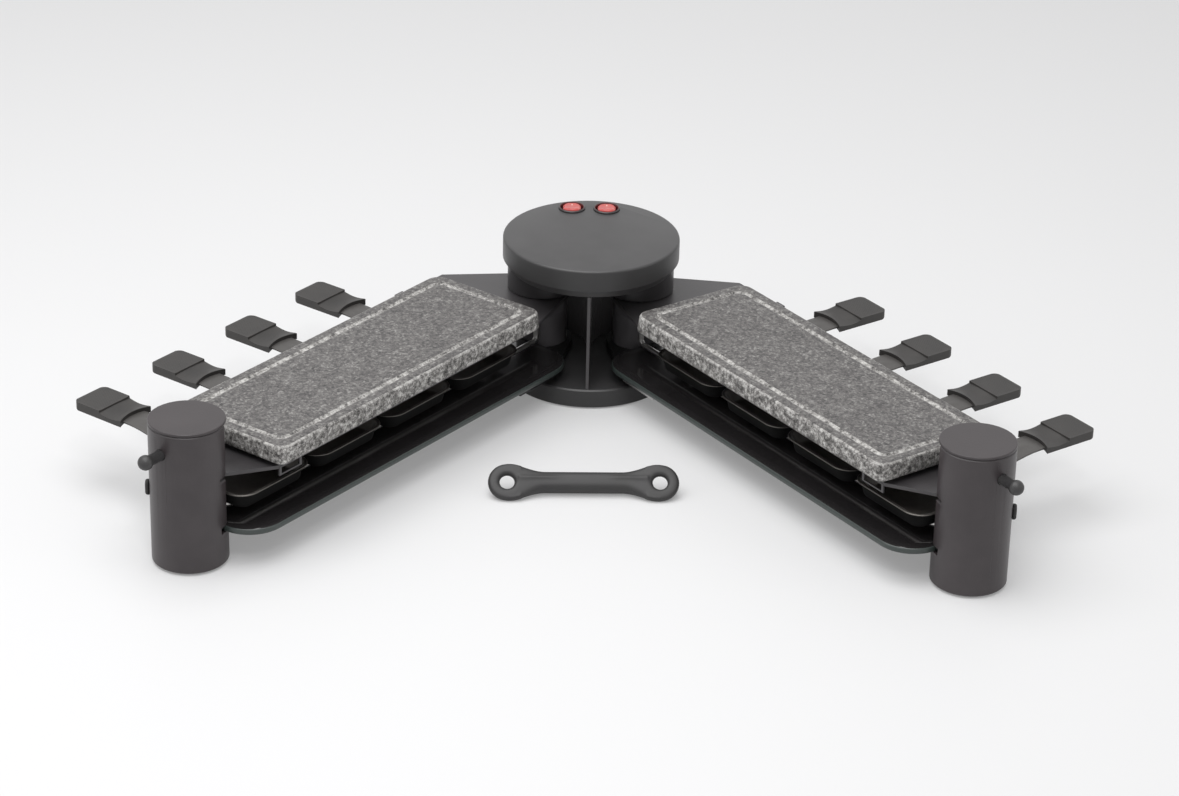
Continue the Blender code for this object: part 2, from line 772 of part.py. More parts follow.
def heater(name, arm):
    """The tubular element under the hood. Both its ends come into the hinge box."""
    start = BOX_LENGTH - BOX_WALL - HEATER_TAIL
    points = hairpin(start, HEATER_STOP, HEATER_HALF, HEATER_HEIGHT)
    place("heater_" + name, wire_mesh("heater", HEATER_RADIUS, points), "coated_steel", arm)


def pan_rail(name, arm):
    """The rod that the pans stand on, from under the hinge box round to the leg's shelf."""
    start = BOX_LENGTH - RAIL_INSET
    half = BOX_HALF - RAIL_RADIUS
    run = hairpin(start + RAIL_RADIUS, RAIL_STOP - RAIL_RADIUS, half, RAIL_HEIGHT)
    first = [(start, -half, BOX_BOTTOM - GAP), (start, -half, RAIL_HEIGHT + RAIL_RADIUS)]
    last = [(x, -y, z) for x, y, z in reversed(first)]
    mesh = wire_mesh("pan_rail", RAIL_RADIUS, first + run + last)
    place("pan_rail_" + name, mesh, "bare_steel", arm)


def tray_bracket(name, arm):
    """A pressed plate on the hub that carries the tray's inner end."""
    points = circle(0, 0, BRACKET_END)
    for along in (BRACKET_START, BRACKET_STOP):
        points += [(along, -BRACKET_HALF), (along, BRACKET_HALF)]
    top = TRAY_BOTTOM - GAP
    mesh = pressed_sheet("tray_bracket", hull(points), top, BRACKET_LIP)
    plate = place("tray_bracket_" + name, mesh, "bare_steel", arm)
    solidify(plate, BRACKET_SHEET)
    start = (0, 0, top - BRACKET_LIP)
    end = (0, 0, top + OVERRUN)
    cut(plate, rod_mesh("hub_hole", HUB_RADIUS + GAP, start, end, ROUND_STEPS))


def tray(name, arm):
    """The glass that catches drips and keeps spare pans off the table."""
    stop = ARM_REACH - CORE_RADIUS - TRAY_END_GAP
    outline = rounded((TRAY_START, -TRAY_HALF), (stop, TRAY_HALF), TRAY_CORNER, 2 * ARC_STEPS)
    mesh = flat_mesh("tray", [outline], TRAY_BOTTOM, TRAY_BOTTOM + TRAY_THICKNESS)
    glass = place("tray_" + name, mesh, "black_glass", arm)
    bevel(glass, TRAY_EDGE, 1)


def slab(name, arm):
    """The granite plate that lies on the hood's rests, with a juice groove round its top."""
    outline = rounded((SLAB_START, -SLAB_HALF), (SLAB_STOP, SLAB_HALF), SLAB_CORNER)
    top = SLAB_BOTTOM + SLAB_THICKNESS
    mesh = flat_mesh("slab", [outline], SLAB_BOTTOM, top)
    stone = place("slab_" + name, mesh, "granite", arm)
    bevel(stone, SLAB_EDGE)
    loops = []
    for inset in (GROOVE_INSET, GROOVE_INSET + GROOVE_WIDTH):
        low = (SLAB_START + inset, inset - SLAB_HALF)
        high = (SLAB_STOP - inset, SLAB_HALF - inset)
        loops.append(rounded(low, high, GROOVE_CORNER + GROOVE_INSET - inset))
    cut(stone, flat_mesh("groove", loops, top - GROOVE_DEPTH, top + OVERRUN))


def leg_openings():
    """Bottom, top and distance from the leg's axis: the mouth for the pans, and two deeper slots."""
    return (
        (LEG_CUT, LEG_HEIGHT + OVERRUN, PAN_TO_LEG - GAP),
        (LEG_CUT, TRAY_BOTTOM + TRAY_THICKNESS + GAP, LEG_SLOT),
        (HOOD_TOP - HOOD_LIP - GAP, HOOD_TOP + GAP, LEG_SLOT),
    )


def leg_tube(name, side, arm):
    """The leg: a tube with a mouth to the arm, and slots that let the tray and the hood in."""
    profile = pipe_profile(LEG_RADIUS, LEG_BORE, FOOT_PROUD, LEG_RIM, LEG_EDGE)
    at = (ARM_REACH, 0, 0)
    tube = turned("leg_tube_" + name, profile, "painted_black", arm, at, ring=True)
    reach = LEG_RADIUS + OVERRUN
    for bottom, top, short in leg_openings():
        low = (ARM_REACH - reach, -reach, bottom)
        cut(tube, box_mesh("leg_opening", low, (ARM_REACH - short, reach, top)))
    start = (ARM_REACH + LEG_BORE - OVERRUN, 0, PEG_HEIGHT)
    end = (ARM_REACH + LEG_RADIUS + OVERRUN, 0, PEG_HEIGHT)
    cut(tube, rod_mesh("peg_hole", PEG_STEM + GAP, start, end))
    leg_stud(name, side, arm)


def leg_stud(name, side, arm):
    """A small upright stud on the outer side of the leg."""
    half = STUD_WIDTH / 2
    reach = STUD_LENGTH / 2 - half
    outline = arc(0, reach, half, 0, math.pi) + arc(0, -reach, half, math.pi, math.tau)
    mesh = flat_mesh("leg_stud", [outline], 0, STUD_PROUD)
    axes = Matrix(((0, 0, 1, 0), (1, 0, 0, 0), (0, 1, 0, 0), (0, 0, 0, 1)))
    turn = side * STUD_TURN
    out = LEG_RADIUS + GAP
    at = (ARM_REACH + out * math.cos(turn), out * math.sin(turn), STUD_HEIGHT)
    mesh.transform(axes)
    stud = place("leg_stud_" + name, mesh, "black_rubber", arm, at, turn)
    bevel(stud, STUD_PROUD / 3, 1)


def leg_cap(name, arm):
    """The lid of the leg, with a short plug that goes into the tube."""
    under = LEG_RIM + GAP
    profile = [(0, LEG_HEIGHT), (LEG_RADIUS - LEG_CAP_EDGE, LEG_HEIGHT)]
    profile += [(LEG_RADIUS, LEG_HEIGHT - LEG_CAP_EDGE), (LEG_RADIUS, under)]
    profile += [(LEG_BORE - GAP, under), (LEG_BORE - GAP, under - LEG_PLUG_DEPTH)]
    profile.append((0, under - LEG_PLUG_DEPTH))
    turned("leg_cap_" + name, profile, "painted_black", arm, (ARM_REACH, 0, 0))


def leg_core(name, arm):
    """The rod inside the leg. Its shoulder holds the hood, and its shelf the pan rail."""
    low = FOOT_DEPTH + GAP
    high = LEG_RIM - LEG_PLUG_DEPTH
    shoulder = HOOD_UNDER - GAP
    shelf = RAIL_HEIGHT - RAIL_RADIUS - GAP
    profile = [(0, high), (CORE_RADIUS, high), (CORE_RADIUS, shoulder), (CORE_SHOULDER, shoulder)]
    profile.append((CORE_SHOULDER, shoulder - CORE_SHOULDER_DEPTH))
    profile.append((CORE_RADIUS, shoulder - CORE_SHOULDER_DEPTH))
    profile += [(CORE_RADIUS, shelf), (CORE_SHELF, shelf), (CORE_SHELF, shelf - CORE_SHELF_DEPTH)]
    profile += [(CORE_RADIUS, shelf - CORE_SHELF_DEPTH), (CORE_RADIUS, low), (0, low)]
    turned("leg_core_" + name, profile, "bare_steel", arm, (ARM_REACH, 0, 0), steps=SMALL_STEPS)


def leg_foot(name, arm):
    """The rubber plug that the leg stands on."""
    profile = [(0, FOOT_DEPTH), (LEG_BORE - GAP, FOOT_DEPTH), (LEG_BORE - GAP, FOOT_PROUD)]
    profile += [(LEG_FOOT_RADIUS, 0), (0, 0)]
    turned("leg_foot_" + name, profile, "black_rubber", arm, (ARM_REACH, 0, 0))


def peg(name, arm):
    """The ball-ended peg that the carry handle hooks over, with its nut inside the leg."""
    tip = PEG_LENGTH + PEG_BALL
    profile = [(0, tip)] + [(x, PEG_LENGTH + y) for x, y in ball_profile()]
    nut = math.sqrt(LEG_BORE ** 2 - PEG_NUT ** 2) - LEG_RADIUS - GAP
    profile += [(PEG_STEM, nut), (PEG_NUT, nut), (PEG_NUT, nut - PEG_NUT_DEPTH), (0, nut - PEG_NUT_DEPTH)]
    at = (ARM_REACH + LEG_RADIUS, 0, PEG_HEIGHT)
    piece = turned("peg_" + name, profile, "satin_black", arm, at, steps=SMALL_STEPS)
    piece.rotation_euler = (0, math.pi / 2, 0)


def ball_profile():
    """The ball's side from near its tip down to where it meets the stem."""
    meet = -math.acos(PEG_STEM / PEG_BALL)
    return arc(0, 0, PEG_BALL, math.radians(70), meet, ARC_STEPS)


# Pans


def pan(name, side, along, arm):
    """A pressed dish with a flat rim, and the strip that its grip is pushed on to."""
    low = (along - PAN_LENGTH / 2, -PAN_FRONT)
    high = (along + PAN_LENGTH / 2, PAN_BACK)
    mesh = dish_mesh(mirrored(rounded(low, high, PAN_CORNER, 4), side))
    dish = place("pan_" + name, mesh, "coated_steel", arm)
    solidify(dish, PAN_SHEET)
    strip = flat_mesh("stem", [stem_outline()], -STEM_HALF, STEM_HALF)
    strip.transform(upright(side, along))
    join(dish, strip)


def dish_mesh(outline):
    """An open dish: a face, its border kept as a rim, and the middle pushed down."""
    edited = bmesh.new()
    face = edited.faces.new([edited.verts.new((x, y, PAN_RIM_TOP)) for x, y in outline])
    face.normal_update()
    if face.normal.z < 0:
        face.normal_flip()
    bmesh.ops.inset_individual(edited, faces=[face], thickness=PAN_RIM, use_even_offset=True)
    walls = bmesh.ops.extrude_face_region(edited, geom=[face])
    sunk = [item for item in walls["geom"] if isinstance(item, bmesh.types.BMVert)]
    middle = sum((vert.co for vert in sunk), Vector()) / len(sunk)
    edited.faces.remove(face)
    bmesh.ops.scale(
        edited, verts=sunk, vec=(PAN_DRAFT_SHARE, PAN_DRAFT_SHARE, 1),
        space=Matrix.Translation(-middle),
    )
    bmesh.ops.translate(edited, verts=sunk, vec=(0, 0, PAN_SHEET - PAN_DEPTH))
    mesh = bpy.data.meshes.new("dish")
    edited.to_mesh(mesh)
    edited.free()
    return mesh


def stem_outline():
    """The strip from the side: level under the hood, then up to the grip."""
    low = PAN_RIM_TOP - PAN_SHEET / 2
    rise = grip_middle() + STEM_SHEET / 2
    path = [(PAN_BACK - PAN_RIM / 2, low), (STEM_RISE_START, low), (STEM_RISE_STOP, rise)]
    path += [(GRIP_START + GRIP_SOCKET - STEM_END_GAP, rise)]
    under = [(x, z - STEM_SHEET) for x, z in reversed(path)]
    return path + under


def grip_middle():
    """The height of the middle of the grip's socket."""
    return GRIP_TOP - GRIP_STEP - GRIP_SADDLE - (GRIP_THICKNESS - GRIP_SADDLE) / 2


def upright(side, along):
    """Takes an outline drawn across the arm and up to its place on the arm."""
    return Matrix(((0, 0, side, along), (side, 0, 0, 0), (0, 1, 0, 0), (0, 0, 0, 1)))


def grip_sections():
    """Sections along the grip: how far out, half width, underside and top."""
    stop = GRIP_START + GRIP_LENGTH
    step = stop - GRIP_PAD_LENGTH
    saddle = GRIP_TOP - GRIP_STEP
    half = GRIP_WIDTH / 2
    rows = []
    for i in range(ARC_STEPS + 1):
        share = i / ARC_STEPS
        along = GRIP_START + (step - GRIP_STEP_RUN - GRIP_START) * share
        rows.append((along, half, saddle - GRIP_SADDLE * math.sin(math.pi * share)))
    rows.append((step, half, GRIP_TOP))
    for across, out in arc(0, 0, GRIP_CORNER, 0, math.pi / 2, GRIP_CORNER_STEPS):
        rows.append((stop - GRIP_CORNER + out, half - GRIP_CORNER + across, GRIP_TOP))
    under = saddle - GRIP_THICKNESS
    bend = GRIP_THICKNESS / 2
    rise = GRIP_TOP - bend - under
    return [
        (along, half, under + rise * max(along - stop + bend, 0) / bend, top)
        for along, half, top in rows
    ]


def grip_mesh(side, along):
    """A saddle next to the stem, a step, and a flat pad whose outer corners are round."""
    edited = bmesh.new()
    rings = []
    for out, half, low, top in grip_sections():
        corners = ((-half, low), (half, low), (half, top), (-half, top))
        rings.append([edited.verts.new((along + x, side * out, z)) for x, z in corners])
    for first, second in zip(rings, rings[1:]):
        for i in range(len(first)):
            edited.faces.new((first[i - 1], first[i], second[i], second[i - 1]))
    edited.faces.new(rings[0])
    edited.faces.new(rings[-1])
    return mesh_from("grip", edited)


def grip(name, side, along, arm):
    """The moulded grip, with a socket for the strip."""
    piece = place("pan_grip_" + name, grip_mesh(side, along), "grip_plastic", arm)
    bevel(piece, GRIP_EDGE, 1, math.radians(60))
    half = STEM_HALF + GAP
    low = grip_middle() - STEM_SHEET / 2 - GAP
    high = grip_middle() + STEM_SHEET / 2 + GAP
    ends = sorted((side * (GRIP_START - OVERRUN), side * (GRIP_START + GRIP_SOCKET)))
    cut(piece, box_mesh("socket", (along - half, ends[0], low), (along + half, ends[1], high)))


# Carry handle


def eased(share):
    """Takes 0..1 to 0..1 with a level start and end."""
    return share * share * (3 - 2 * share)


def handle_half(along):
    """Half the handle's width: straight at the grip, then widening until it runs into the eye."""
    waist = HANDLE_GRIP_WIDTH / 2
    meet = HANDLE_SPACING / 2 - HANDLE_EYE * math.cos(HANDLE_EYE_MEET)
    length = meet - HANDLE_STRAIGHT
    share = min(max((along - HANDLE_STRAIGHT) / length, 0), 1)
    if share == 1:
        return math.sqrt(max(HANDLE_EYE ** 2 - (along - HANDLE_SPACING / 2) ** 2, 0))
    slope = 1 / math.tan(HANDLE_EYE_MEET)
    widening = (HANDLE_EYE * math.sin(HANDLE_EYE_MEET) - waist) * eased(share)
    return waist + widening - length * slope * share * share * (1 - share)


def handle_rings():
    """Sections of the handle, whose grip is thicker than the eyes and lies behind them."""
    reach = HANDLE_SPACING / 2
    blend = reach - HANDLE_HOLE - HANDLE_STRAIGHT
    stations = [reach * i / SMALL_STEPS for i in range(SMALL_STEPS)]
    stations += [x for x, _ in arc(reach, 0, HANDLE_EYE, math.pi / 2, math.radians(9), ARC_STEPS)]
    rings = []
    for along in [-x for x in reversed(stations[1:])] + stations:
        half = handle_half(abs(along))
        share = eased(min(max((abs(along) - HANDLE_STRAIGHT) / blend, 0), 1))
        thick = HANDLE_GRIP_THICKNESS + (HANDLE_EYE_THICKNESS - HANDLE_GRIP_THICKNESS) * share
        up = HANDLE_GRIP_UP * (1 - share)
        back = HANDLE_GRIP_BACK * (1 - share)
        ring = []
        for across, out in arc(0, 0, 1, 0, math.tau * (1 - 1 / SMALL_STEPS), SMALL_STEPS - 1):
            across = math.copysign(abs(across) ** HANDLE_ROUNDING_SHARE, across)
            out = math.copysign(abs(out) ** HANDLE_ROUNDING_SHARE, out)
            ring.append((along, up + half * across, thick / 2 * out - back))
        rings.append(ring)
    return rings


def handle_mesh():
    edited = bmesh.new()
    loops = [[edited.verts.new(point) for point in ring] for ring in handle_rings()]
    for first, second in zip(loops, loops[1:]):
        for i in range(len(first)):
            edited.faces.new((first[i - 1], first[i], second[i], second[i - 1]))
    edited.faces.new(loops[0])
    edited.faces.new(loops[-1])
    return mesh_from("carry_handle", edited)


def carry_handle():
    """The loose handle. It rests on the rims of both eyes and on its grip, tilted to the front."""
    mesh = handle_mesh()
    tilt = Matrix.Rotation(HANDLE_TILT, 4, "X")
    mesh.transform(tilt)
    lift = Matrix.Translation((0, 0, -min(vert.co.z for vert in mesh.vertices)))
    mesh.transform(lift)
    at = (HANDLE_X, -HANDLE_AHEAD, 0)
    piece = place("carry_handle", mesh, "satin_black", at=at, turn=HANDLE_TURN)
    for side in SIDES.values():
        x = side * HANDLE_SPACING / 2
        deep = HANDLE_EYE_THICKNESS / 2 + OVERRUN
        hole = rod_mesh("handle_hole", HANDLE_HOLE, (x, 0, -deep), (x, 0, deep))
        hole.transform(lift @ tilt)
        cut(piece, hole, at, HANDLE_TURN)


def build_drum():
    base()
    base_plate()
    column()
    cap_floor()
    cap()
    terminal_block()
    cord_gland()
    for name, side in SIDES.items():
        switch(name, side)
        rocker(name, side)
        hinge_pin(name, side)


def build_arm(name, side):
    """One arm, in the frame of its hinge."""
    turn = -math.pi / 2 + side * HALF_ANGLE
    arm = place_empty("arm_" + name, (side * HINGE_X, HINGE_Y, 0), turn)
    hinge_barrel(name, arm)
    hinge_box(name, arm)
    hood(name, side, arm)
    heater(name, arm)
    pan_rail(name, arm)
    tray_bracket(name, arm)
    tray(name, arm)
    slab(name, arm)
    leg_tube(name, side, arm)
    leg_cap(name, arm)
    leg_core(name, arm)
    leg_foot(name, arm)
    peg(name, arm)
    for number in range(PAN_COUNT):
        along = PAN_FIRST + number * PAN_PITCH
        pan(f"{name}_{number + 1}", side, along, arm)
        grip(f"{name}_{number + 1}", side, along, arm)


build_drum()
for arm_name, arm_side in SIDES.items():
    build_arm(arm_name, arm_side)
carry_handle()
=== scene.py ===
"""Looks for the folding raclette grill: finishes, finer pieces, table, light and camera."""

import json
import math

import bmesh
import bpy
from mathutils import Matrix, Vector, noise

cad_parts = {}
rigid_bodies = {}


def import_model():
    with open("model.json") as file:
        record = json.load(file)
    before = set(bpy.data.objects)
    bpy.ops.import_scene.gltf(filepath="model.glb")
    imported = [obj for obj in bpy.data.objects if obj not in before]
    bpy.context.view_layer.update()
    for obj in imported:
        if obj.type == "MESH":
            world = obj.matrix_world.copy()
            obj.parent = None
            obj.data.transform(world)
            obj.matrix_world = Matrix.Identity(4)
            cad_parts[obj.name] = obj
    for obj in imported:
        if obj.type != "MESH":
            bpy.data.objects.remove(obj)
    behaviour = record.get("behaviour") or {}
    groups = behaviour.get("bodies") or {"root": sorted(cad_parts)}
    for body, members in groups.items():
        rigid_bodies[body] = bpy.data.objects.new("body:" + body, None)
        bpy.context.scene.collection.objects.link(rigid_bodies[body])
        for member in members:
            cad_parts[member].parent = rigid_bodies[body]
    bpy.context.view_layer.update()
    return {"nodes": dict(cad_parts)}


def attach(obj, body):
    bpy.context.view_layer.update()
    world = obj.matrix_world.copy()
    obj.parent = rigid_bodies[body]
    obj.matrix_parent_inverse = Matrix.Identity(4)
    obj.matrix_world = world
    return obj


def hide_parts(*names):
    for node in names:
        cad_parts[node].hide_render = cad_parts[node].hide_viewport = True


for leftover in list(bpy.data.objects):
    bpy.data.objects.remove(leftover)

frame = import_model()
scene = bpy.context.scene
scene.view_settings.view_transform = "Standard"


# Camera
# A long lens from the front, a little above the table, as the photograph was taken.
# Its place and turn come from fitting the outlines of the drum, legs, slabs and grips.

PHOTO_WIDTH, PHOTO_HEIGHT = 1179, 796
FOCAL_PIXELS = 3638.72
CAMERA_DISTANCE = 3.12905
CAMERA_PITCH = math.radians(26.15)
CAMERA_YAW = math.radians(0.60)
CAMERA_ROLL = math.radians(1.36)
OPTICAL_CENTRE = (588.25, 371.57)
SENSOR_WIDTH, FARTHEST = 36, 30

away = Vector((
    math.sin(CAMERA_YAW) * math.cos(CAMERA_PITCH),
    -math.cos(CAMERA_YAW) * math.cos(CAMERA_PITCH),
    math.sin(CAMERA_PITCH),
))
level = Vector((0, 0, 1)).cross(away).normalized()
upward = away.cross(level)
across = math.cos(CAMERA_ROLL) * level + math.sin(CAMERA_ROLL) * upward
upright = math.cos(CAMERA_ROLL) * upward - math.sin(CAMERA_ROLL) * level

# The lens looks at the middle of the picture, so no shift is needed.
middle = (
    -away
    + across * (PHOTO_WIDTH / 2 - OPTICAL_CENTRE[0]) / FOCAL_PIXELS
    - upright * (PHOTO_HEIGHT / 2 - OPTICAL_CENTRE[1]) / FOCAL_PIXELS
).normalized()
back = -middle
right = (across - across.dot(back) * back).normalized()
camera = bpy.data.objects.new("camera", bpy.data.cameras.new("camera"))
camera.data.sensor_width = SENSOR_WIDTH
camera.data.lens = FOCAL_PIXELS / PHOTO_WIDTH * SENSOR_WIDTH
camera.data.clip_end = FARTHEST
camera.matrix_world = (
    Matrix.Translation(away * CAMERA_DISTANCE)
    @ Matrix((right, back.cross(right), back)).transposed().to_4x4()
)
scene.collection.objects.link(camera)
scene.camera = camera


# Table, backdrop and light
# A pale, faintly glowing table that ends in a white room, which only camera, mirror and glass rays
# see. A large soft lamp hangs above, one stands on each side, and a small one lights the front edges.


class Field:
    """A value inside a material, for use in sums."""

    def __init__(self, finish, socket):
        self.finish = finish
        self.socket = socket

    def math(self, operation, first, second):
        values = {0: first, 1: second}
        return self.finish.node("ShaderNodeMath", {"operation": operation}, values)

    def __add__(self, other):
        return self.math("ADD", self, other)

    __radd__ = __add__

    def __sub__(self, other):
        return self.math("SUBTRACT", self, other)

    def __rsub__(self, other):
        return self.math("SUBTRACT", other, self)

    def __mul__(self, other):
        return self.math("MULTIPLY", self, other)

    __rmul__ = __mul__

    def __gt__(self, other):
        return self.math("GREATER_THAN", self, other)

    def __lt__(self, other):
        return self.math("LESS_THAN", self, other)

    def __abs__(self):
        return self.math("ABSOLUTE", self, 0)

    def highest(self, other):
        return self.math("MAXIMUM", self, other)


class Finish:
    """A material. Constants go straight on its shader, and fields only where they may vary."""

    def __init__(self, name, colour, roughness, **constants):
        self.material = bpy.data.materials.new(name)
        self.material.use_nodes = True
        self.tree = self.material.node_tree
        self.shader = self.tree.nodes["Principled BSDF"]
        self.shader.inputs["Base Color"].default_value = (*colour, 1)
        self.shader.inputs["Roughness"].default_value = roughness
        for setting, value in constants.items():
            title = setting.replace("_", " ").title().replace("Ior", "IOR")
            self.shader.inputs[title].default_value = value
        self.places = {}

    def node(self, kind, settings=None, values=None, output=0):
        made = self.tree.nodes.new(kind)
        for name, value in (settings or {}).items():
            if name == "stops":
                self.stops(made.color_ramp, value)
            else:
                setattr(made, name, value)
        for socket, value in (values or {}).items():
            self.feed(made.inputs[socket], value)
        return Field(self, made.outputs[output])

    def stops(self, ramp, stops):
        while len(ramp.elements) < len(stops):
            ramp.elements.new(1)
        for element, (position, colour) in zip(ramp.elements, stops):
            element.position = position
            element.color = (*colour, 1)

    def feed(self, socket, value):
        if isinstance(value, Field):
            self.tree.links.new(value.socket, socket)
        elif isinstance(value, tuple) and len(value) == 3 and socket.type == "RGBA":
            socket.default_value = (*value, 1)
        else:
            socket.default_value = value

    def place(self, stretch=(1, 1, 1)):
        """Where a point is on the piece, stretched along each axis."""
        if stretch not in self.places:
            spot = self.node("ShaderNodeTexCoord", output="Object")
            values = {"Vector": spot, "Scale": stretch}
            self.places[stretch] = self.node("ShaderNodeMapping", {}, values)
        return self.places[stretch]

    def axis(self, letter):
        spot = self.node("ShaderNodeTexCoord", output="Object")
        return self.node("ShaderNodeSeparateXYZ", {}, {0: spot}, output=letter)

    def facing_up(self):
        """1 on level faces, 0 on upright ones and -1 on undersides."""
        normal = self.node("ShaderNodeNewGeometry", output="Normal")
        return self.node("ShaderNodeSeparateXYZ", {}, {0: normal}, output="Z")

    def noise(self, size, detail=2.0, stretch=(1, 1, 1), roughness=0.5):
        """Cloudy noise from 0 to 1 whose patches are about `size` metres wide."""
        values = {
            "Vector": self.place(stretch), "Scale": 1 / size, "Detail": detail,
            "Roughness": roughness,
        }
        return self.node("ShaderNodeTexNoise", {}, values)

    def cells(self, size):
        """Grains about `size` metres wide, each with a colour of its own."""
        values = {"Vector": self.place(), "Scale": 1 / size}
        return self.node("ShaderNodeTexVoronoi", {}, values, output="Color")

    def ramp(self, value, *stops):
        return self.node("ShaderNodeValToRGB", {"stops": stops}, {0: value})

    def spread(self, value, low, high, start=0.0, stop=1.0):
        """Takes low..high to start..stop and holds it there."""
        values = {0: value, 1: low, 2: high, 3: start, 4: stop}
        return self.node("ShaderNodeMapRange", {"clamp": True}, values)

    def mix(self, share, first, second):
        values = {0: share, 6: first, 7: second}
        return self.node("ShaderNodeMix", {"data_type": "RGBA"}, values, output=2)

    def colour(self, value):
        self.feed(self.shader.inputs["Base Color"], value)
        return self

    def rough(self, value):
        self.feed(self.shader.inputs["Roughness"], value)
        return self

    def bump(self, height, distance):
        values = {"Height": height, "Distance": distance, "Strength": 1.0}
        self.feed(self.shader.inputs["Normal"], self.node("ShaderNodeBump", {}, values))
        return self


def toned(colour, share):
    """A colour made lighter or darker by a share."""
    return tuple(share * part for part in colour)


TABLE_SIZE = 14.0
TABLE_DROP = 0.0006
TABLE_COLOUR, TABLE_ROUGHNESS = (0.56, 0.56, 0.565), 0.6
TABLE_GLOW = 0.22
TABLE_CLOUD, TABLE_CLOUD_SIZE = 0.98, 0.5
ROOM_LIGHT = 0.62
ROOM_WHITE = 0.93
# Name, place, target, width and power of each lamp.
LAMPS = (
    ("top_lamp", (-0.35, -0.40, 1.60), (0, -0.15, 0), 1.6, 25),
    ("left_lamp", (-2.2, -1.2, 1.0), (0, -0.2, 0), 1.4, 5),
    ("right_lamp", (2.4, -1.0, 0.9), (0, -0.2, 0), 1.2, 3.5),
    ("edge_lamp", (0.2, -2.0, 2.2), (0, 0, 0.1), 0.35, 8),
)

table_finish = Finish(
    "table_top", TABLE_COLOUR, TABLE_ROUGHNESS, emission_color=(1, 1, 1, 1),
    emission_strength=TABLE_GLOW,
)
table_finish.colour(table_finish.mix(
    table_finish.noise(TABLE_CLOUD_SIZE, 1.0), TABLE_COLOUR, toned(TABLE_COLOUR, TABLE_CLOUD),
))
edited = bmesh.new()
bmesh.ops.create_grid(edited, x_segments=1, y_segments=1, size=TABLE_SIZE / 2)
table_mesh = bpy.data.meshes.new("table_top")
edited.to_mesh(table_mesh)
edited.free()
table_mesh.materials.append(table_finish.material)
table_top = bpy.data.objects.new("table_top", table_mesh)
table_top.location.z = -TABLE_DROP
scene.collection.objects.link(table_top)

room = bpy.data.worlds.new("room")
room.use_nodes = True
scene.world = room
sky = room.node_tree
sky_out = sky.nodes["World Output"]
lit, seen, rays, either, any_of, blend = (
    sky.nodes.new(kind) for kind in (
        "ShaderNodeBackground", "ShaderNodeBackground", "ShaderNodeLightPath",
        "ShaderNodeMath", "ShaderNodeMath", "ShaderNodeMixShader",
    )
)
lit.inputs["Strength"].default_value = ROOM_LIGHT
seen.inputs["Color"].default_value = (ROOM_WHITE, ROOM_WHITE, ROOM_WHITE, 1)
for sum_node, first, second in (
    (either, rays.outputs["Is Camera Ray"], rays.outputs["Is Glossy Ray"]),
    (any_of, either.outputs[0], rays.outputs["Is Transmission Ray"]),
):
    sum_node.operation = "MAXIMUM"
    sky.links.new(first, sum_node.inputs[0])
    sky.links.new(second, sum_node.inputs[1])
sky.links.new(any_of.outputs[0], blend.inputs[0])
sky.links.new(lit.outputs[0], blend.inputs[1])
sky.links.new(seen.outputs[0], blend.inputs[2])
sky.links.new(blend.outputs[0], sky_out.inputs["Surface"])


def lamp(name, at, target, size, power):
    """A square soft lamp that looks at a point."""
    data = bpy.data.lights.new(name, "AREA")
    data.shape = "SQUARE"
    data.size = size
    data.energy = power
    obj = bpy.data.objects.new(name, data)
    obj.location = at
    obj.rotation_euler = (Vector(target) - Vector(at)).to_track_quat("-Z", "Y").to_euler()
    scene.collection.objects.link(obj)


for lamp_values in LAMPS:
    lamp(*lamp_values)


# Drum
# Base, column, cap floor and cap are moulded in satin black plastic. The sides of cap and base keep
# fine level lines from turning and carry painted shade under painted lighter tops. The front of the
# column has painted light beside its web, growing upward, with painted streaks as from its ribs. The
# base plate and terminal block take a darker black as painted shade inside the drum. The parts come
# from the frame with softened edges.

PLASTIC_BLACK = (0.026, 0.025, 0.026)
PLASTIC_WORN = (0.034, 0.033, 0.033)
WELD_REACH = 0.00001
FLAT_ANGLE, EDGE_ANGLE = math.radians(0.4), math.radians(32)
# Where the painted light on the column's front lies, how it rises and how fine its streaks are.
WEB_HALF, PANEL_HALF, PANEL_BACK = 0.0020, 0.0125, 0.020
PANEL_DARK_BELOW, PANEL_LIGHT_ABOVE = 0.040, 0.100
PANEL_RIB = 0.0022


def moulded(name, black=PLASTIC_BLACK, worn=PLASTIC_WORN, roughness=0.42, grain=0.00035):
    """Satin plastic: fine even grain, with faint cloudy patches that are a little duller."""
    finish = Finish(name, black, roughness, specular_ior_level=0.5)
    patches = finish.noise(0.02, 3.0)
    finish.colour(finish.mix(finish.spread(patches, 0.35, 0.7), black, worn))
    finish.rough(roughness - 0.05 + 0.12 * patches)
    fine = finish.noise(grain * 3, 2.0)
    return finish.bump(fine, 0.00003)


def lined_with_painted_shade(name, black, roughness, pitch):
    """Satin plastic with level lines from turning, a painted lighter top and painted shade on its
    upright faces.
    """
    finish = Finish(name, black, roughness, specular_ior_level=0.5)
    patches = finish.noise(0.02, 3.0)
    # Painted light: level faces take a lighter tone and upright faces half the black, as painted
    # shade.
    painted_light_share = finish.spread(finish.facing_up(), 0.4, 0.9)
    painted_lit_top = finish.mix(finish.spread(patches, 0.35, 0.7), black, toned(black, 1.25))
    finish.colour(finish.mix(painted_light_share, toned(black, 0.50), painted_lit_top))
    finish.rough(roughness - 0.05 + 0.12 * patches)
    lines = finish.noise(pitch, 1.0, (0.02, 0.02, 1))
    fine = finish.noise(0.001, 2.0)
    return finish.bump(lines + 0.35 * fine, 0.00008)


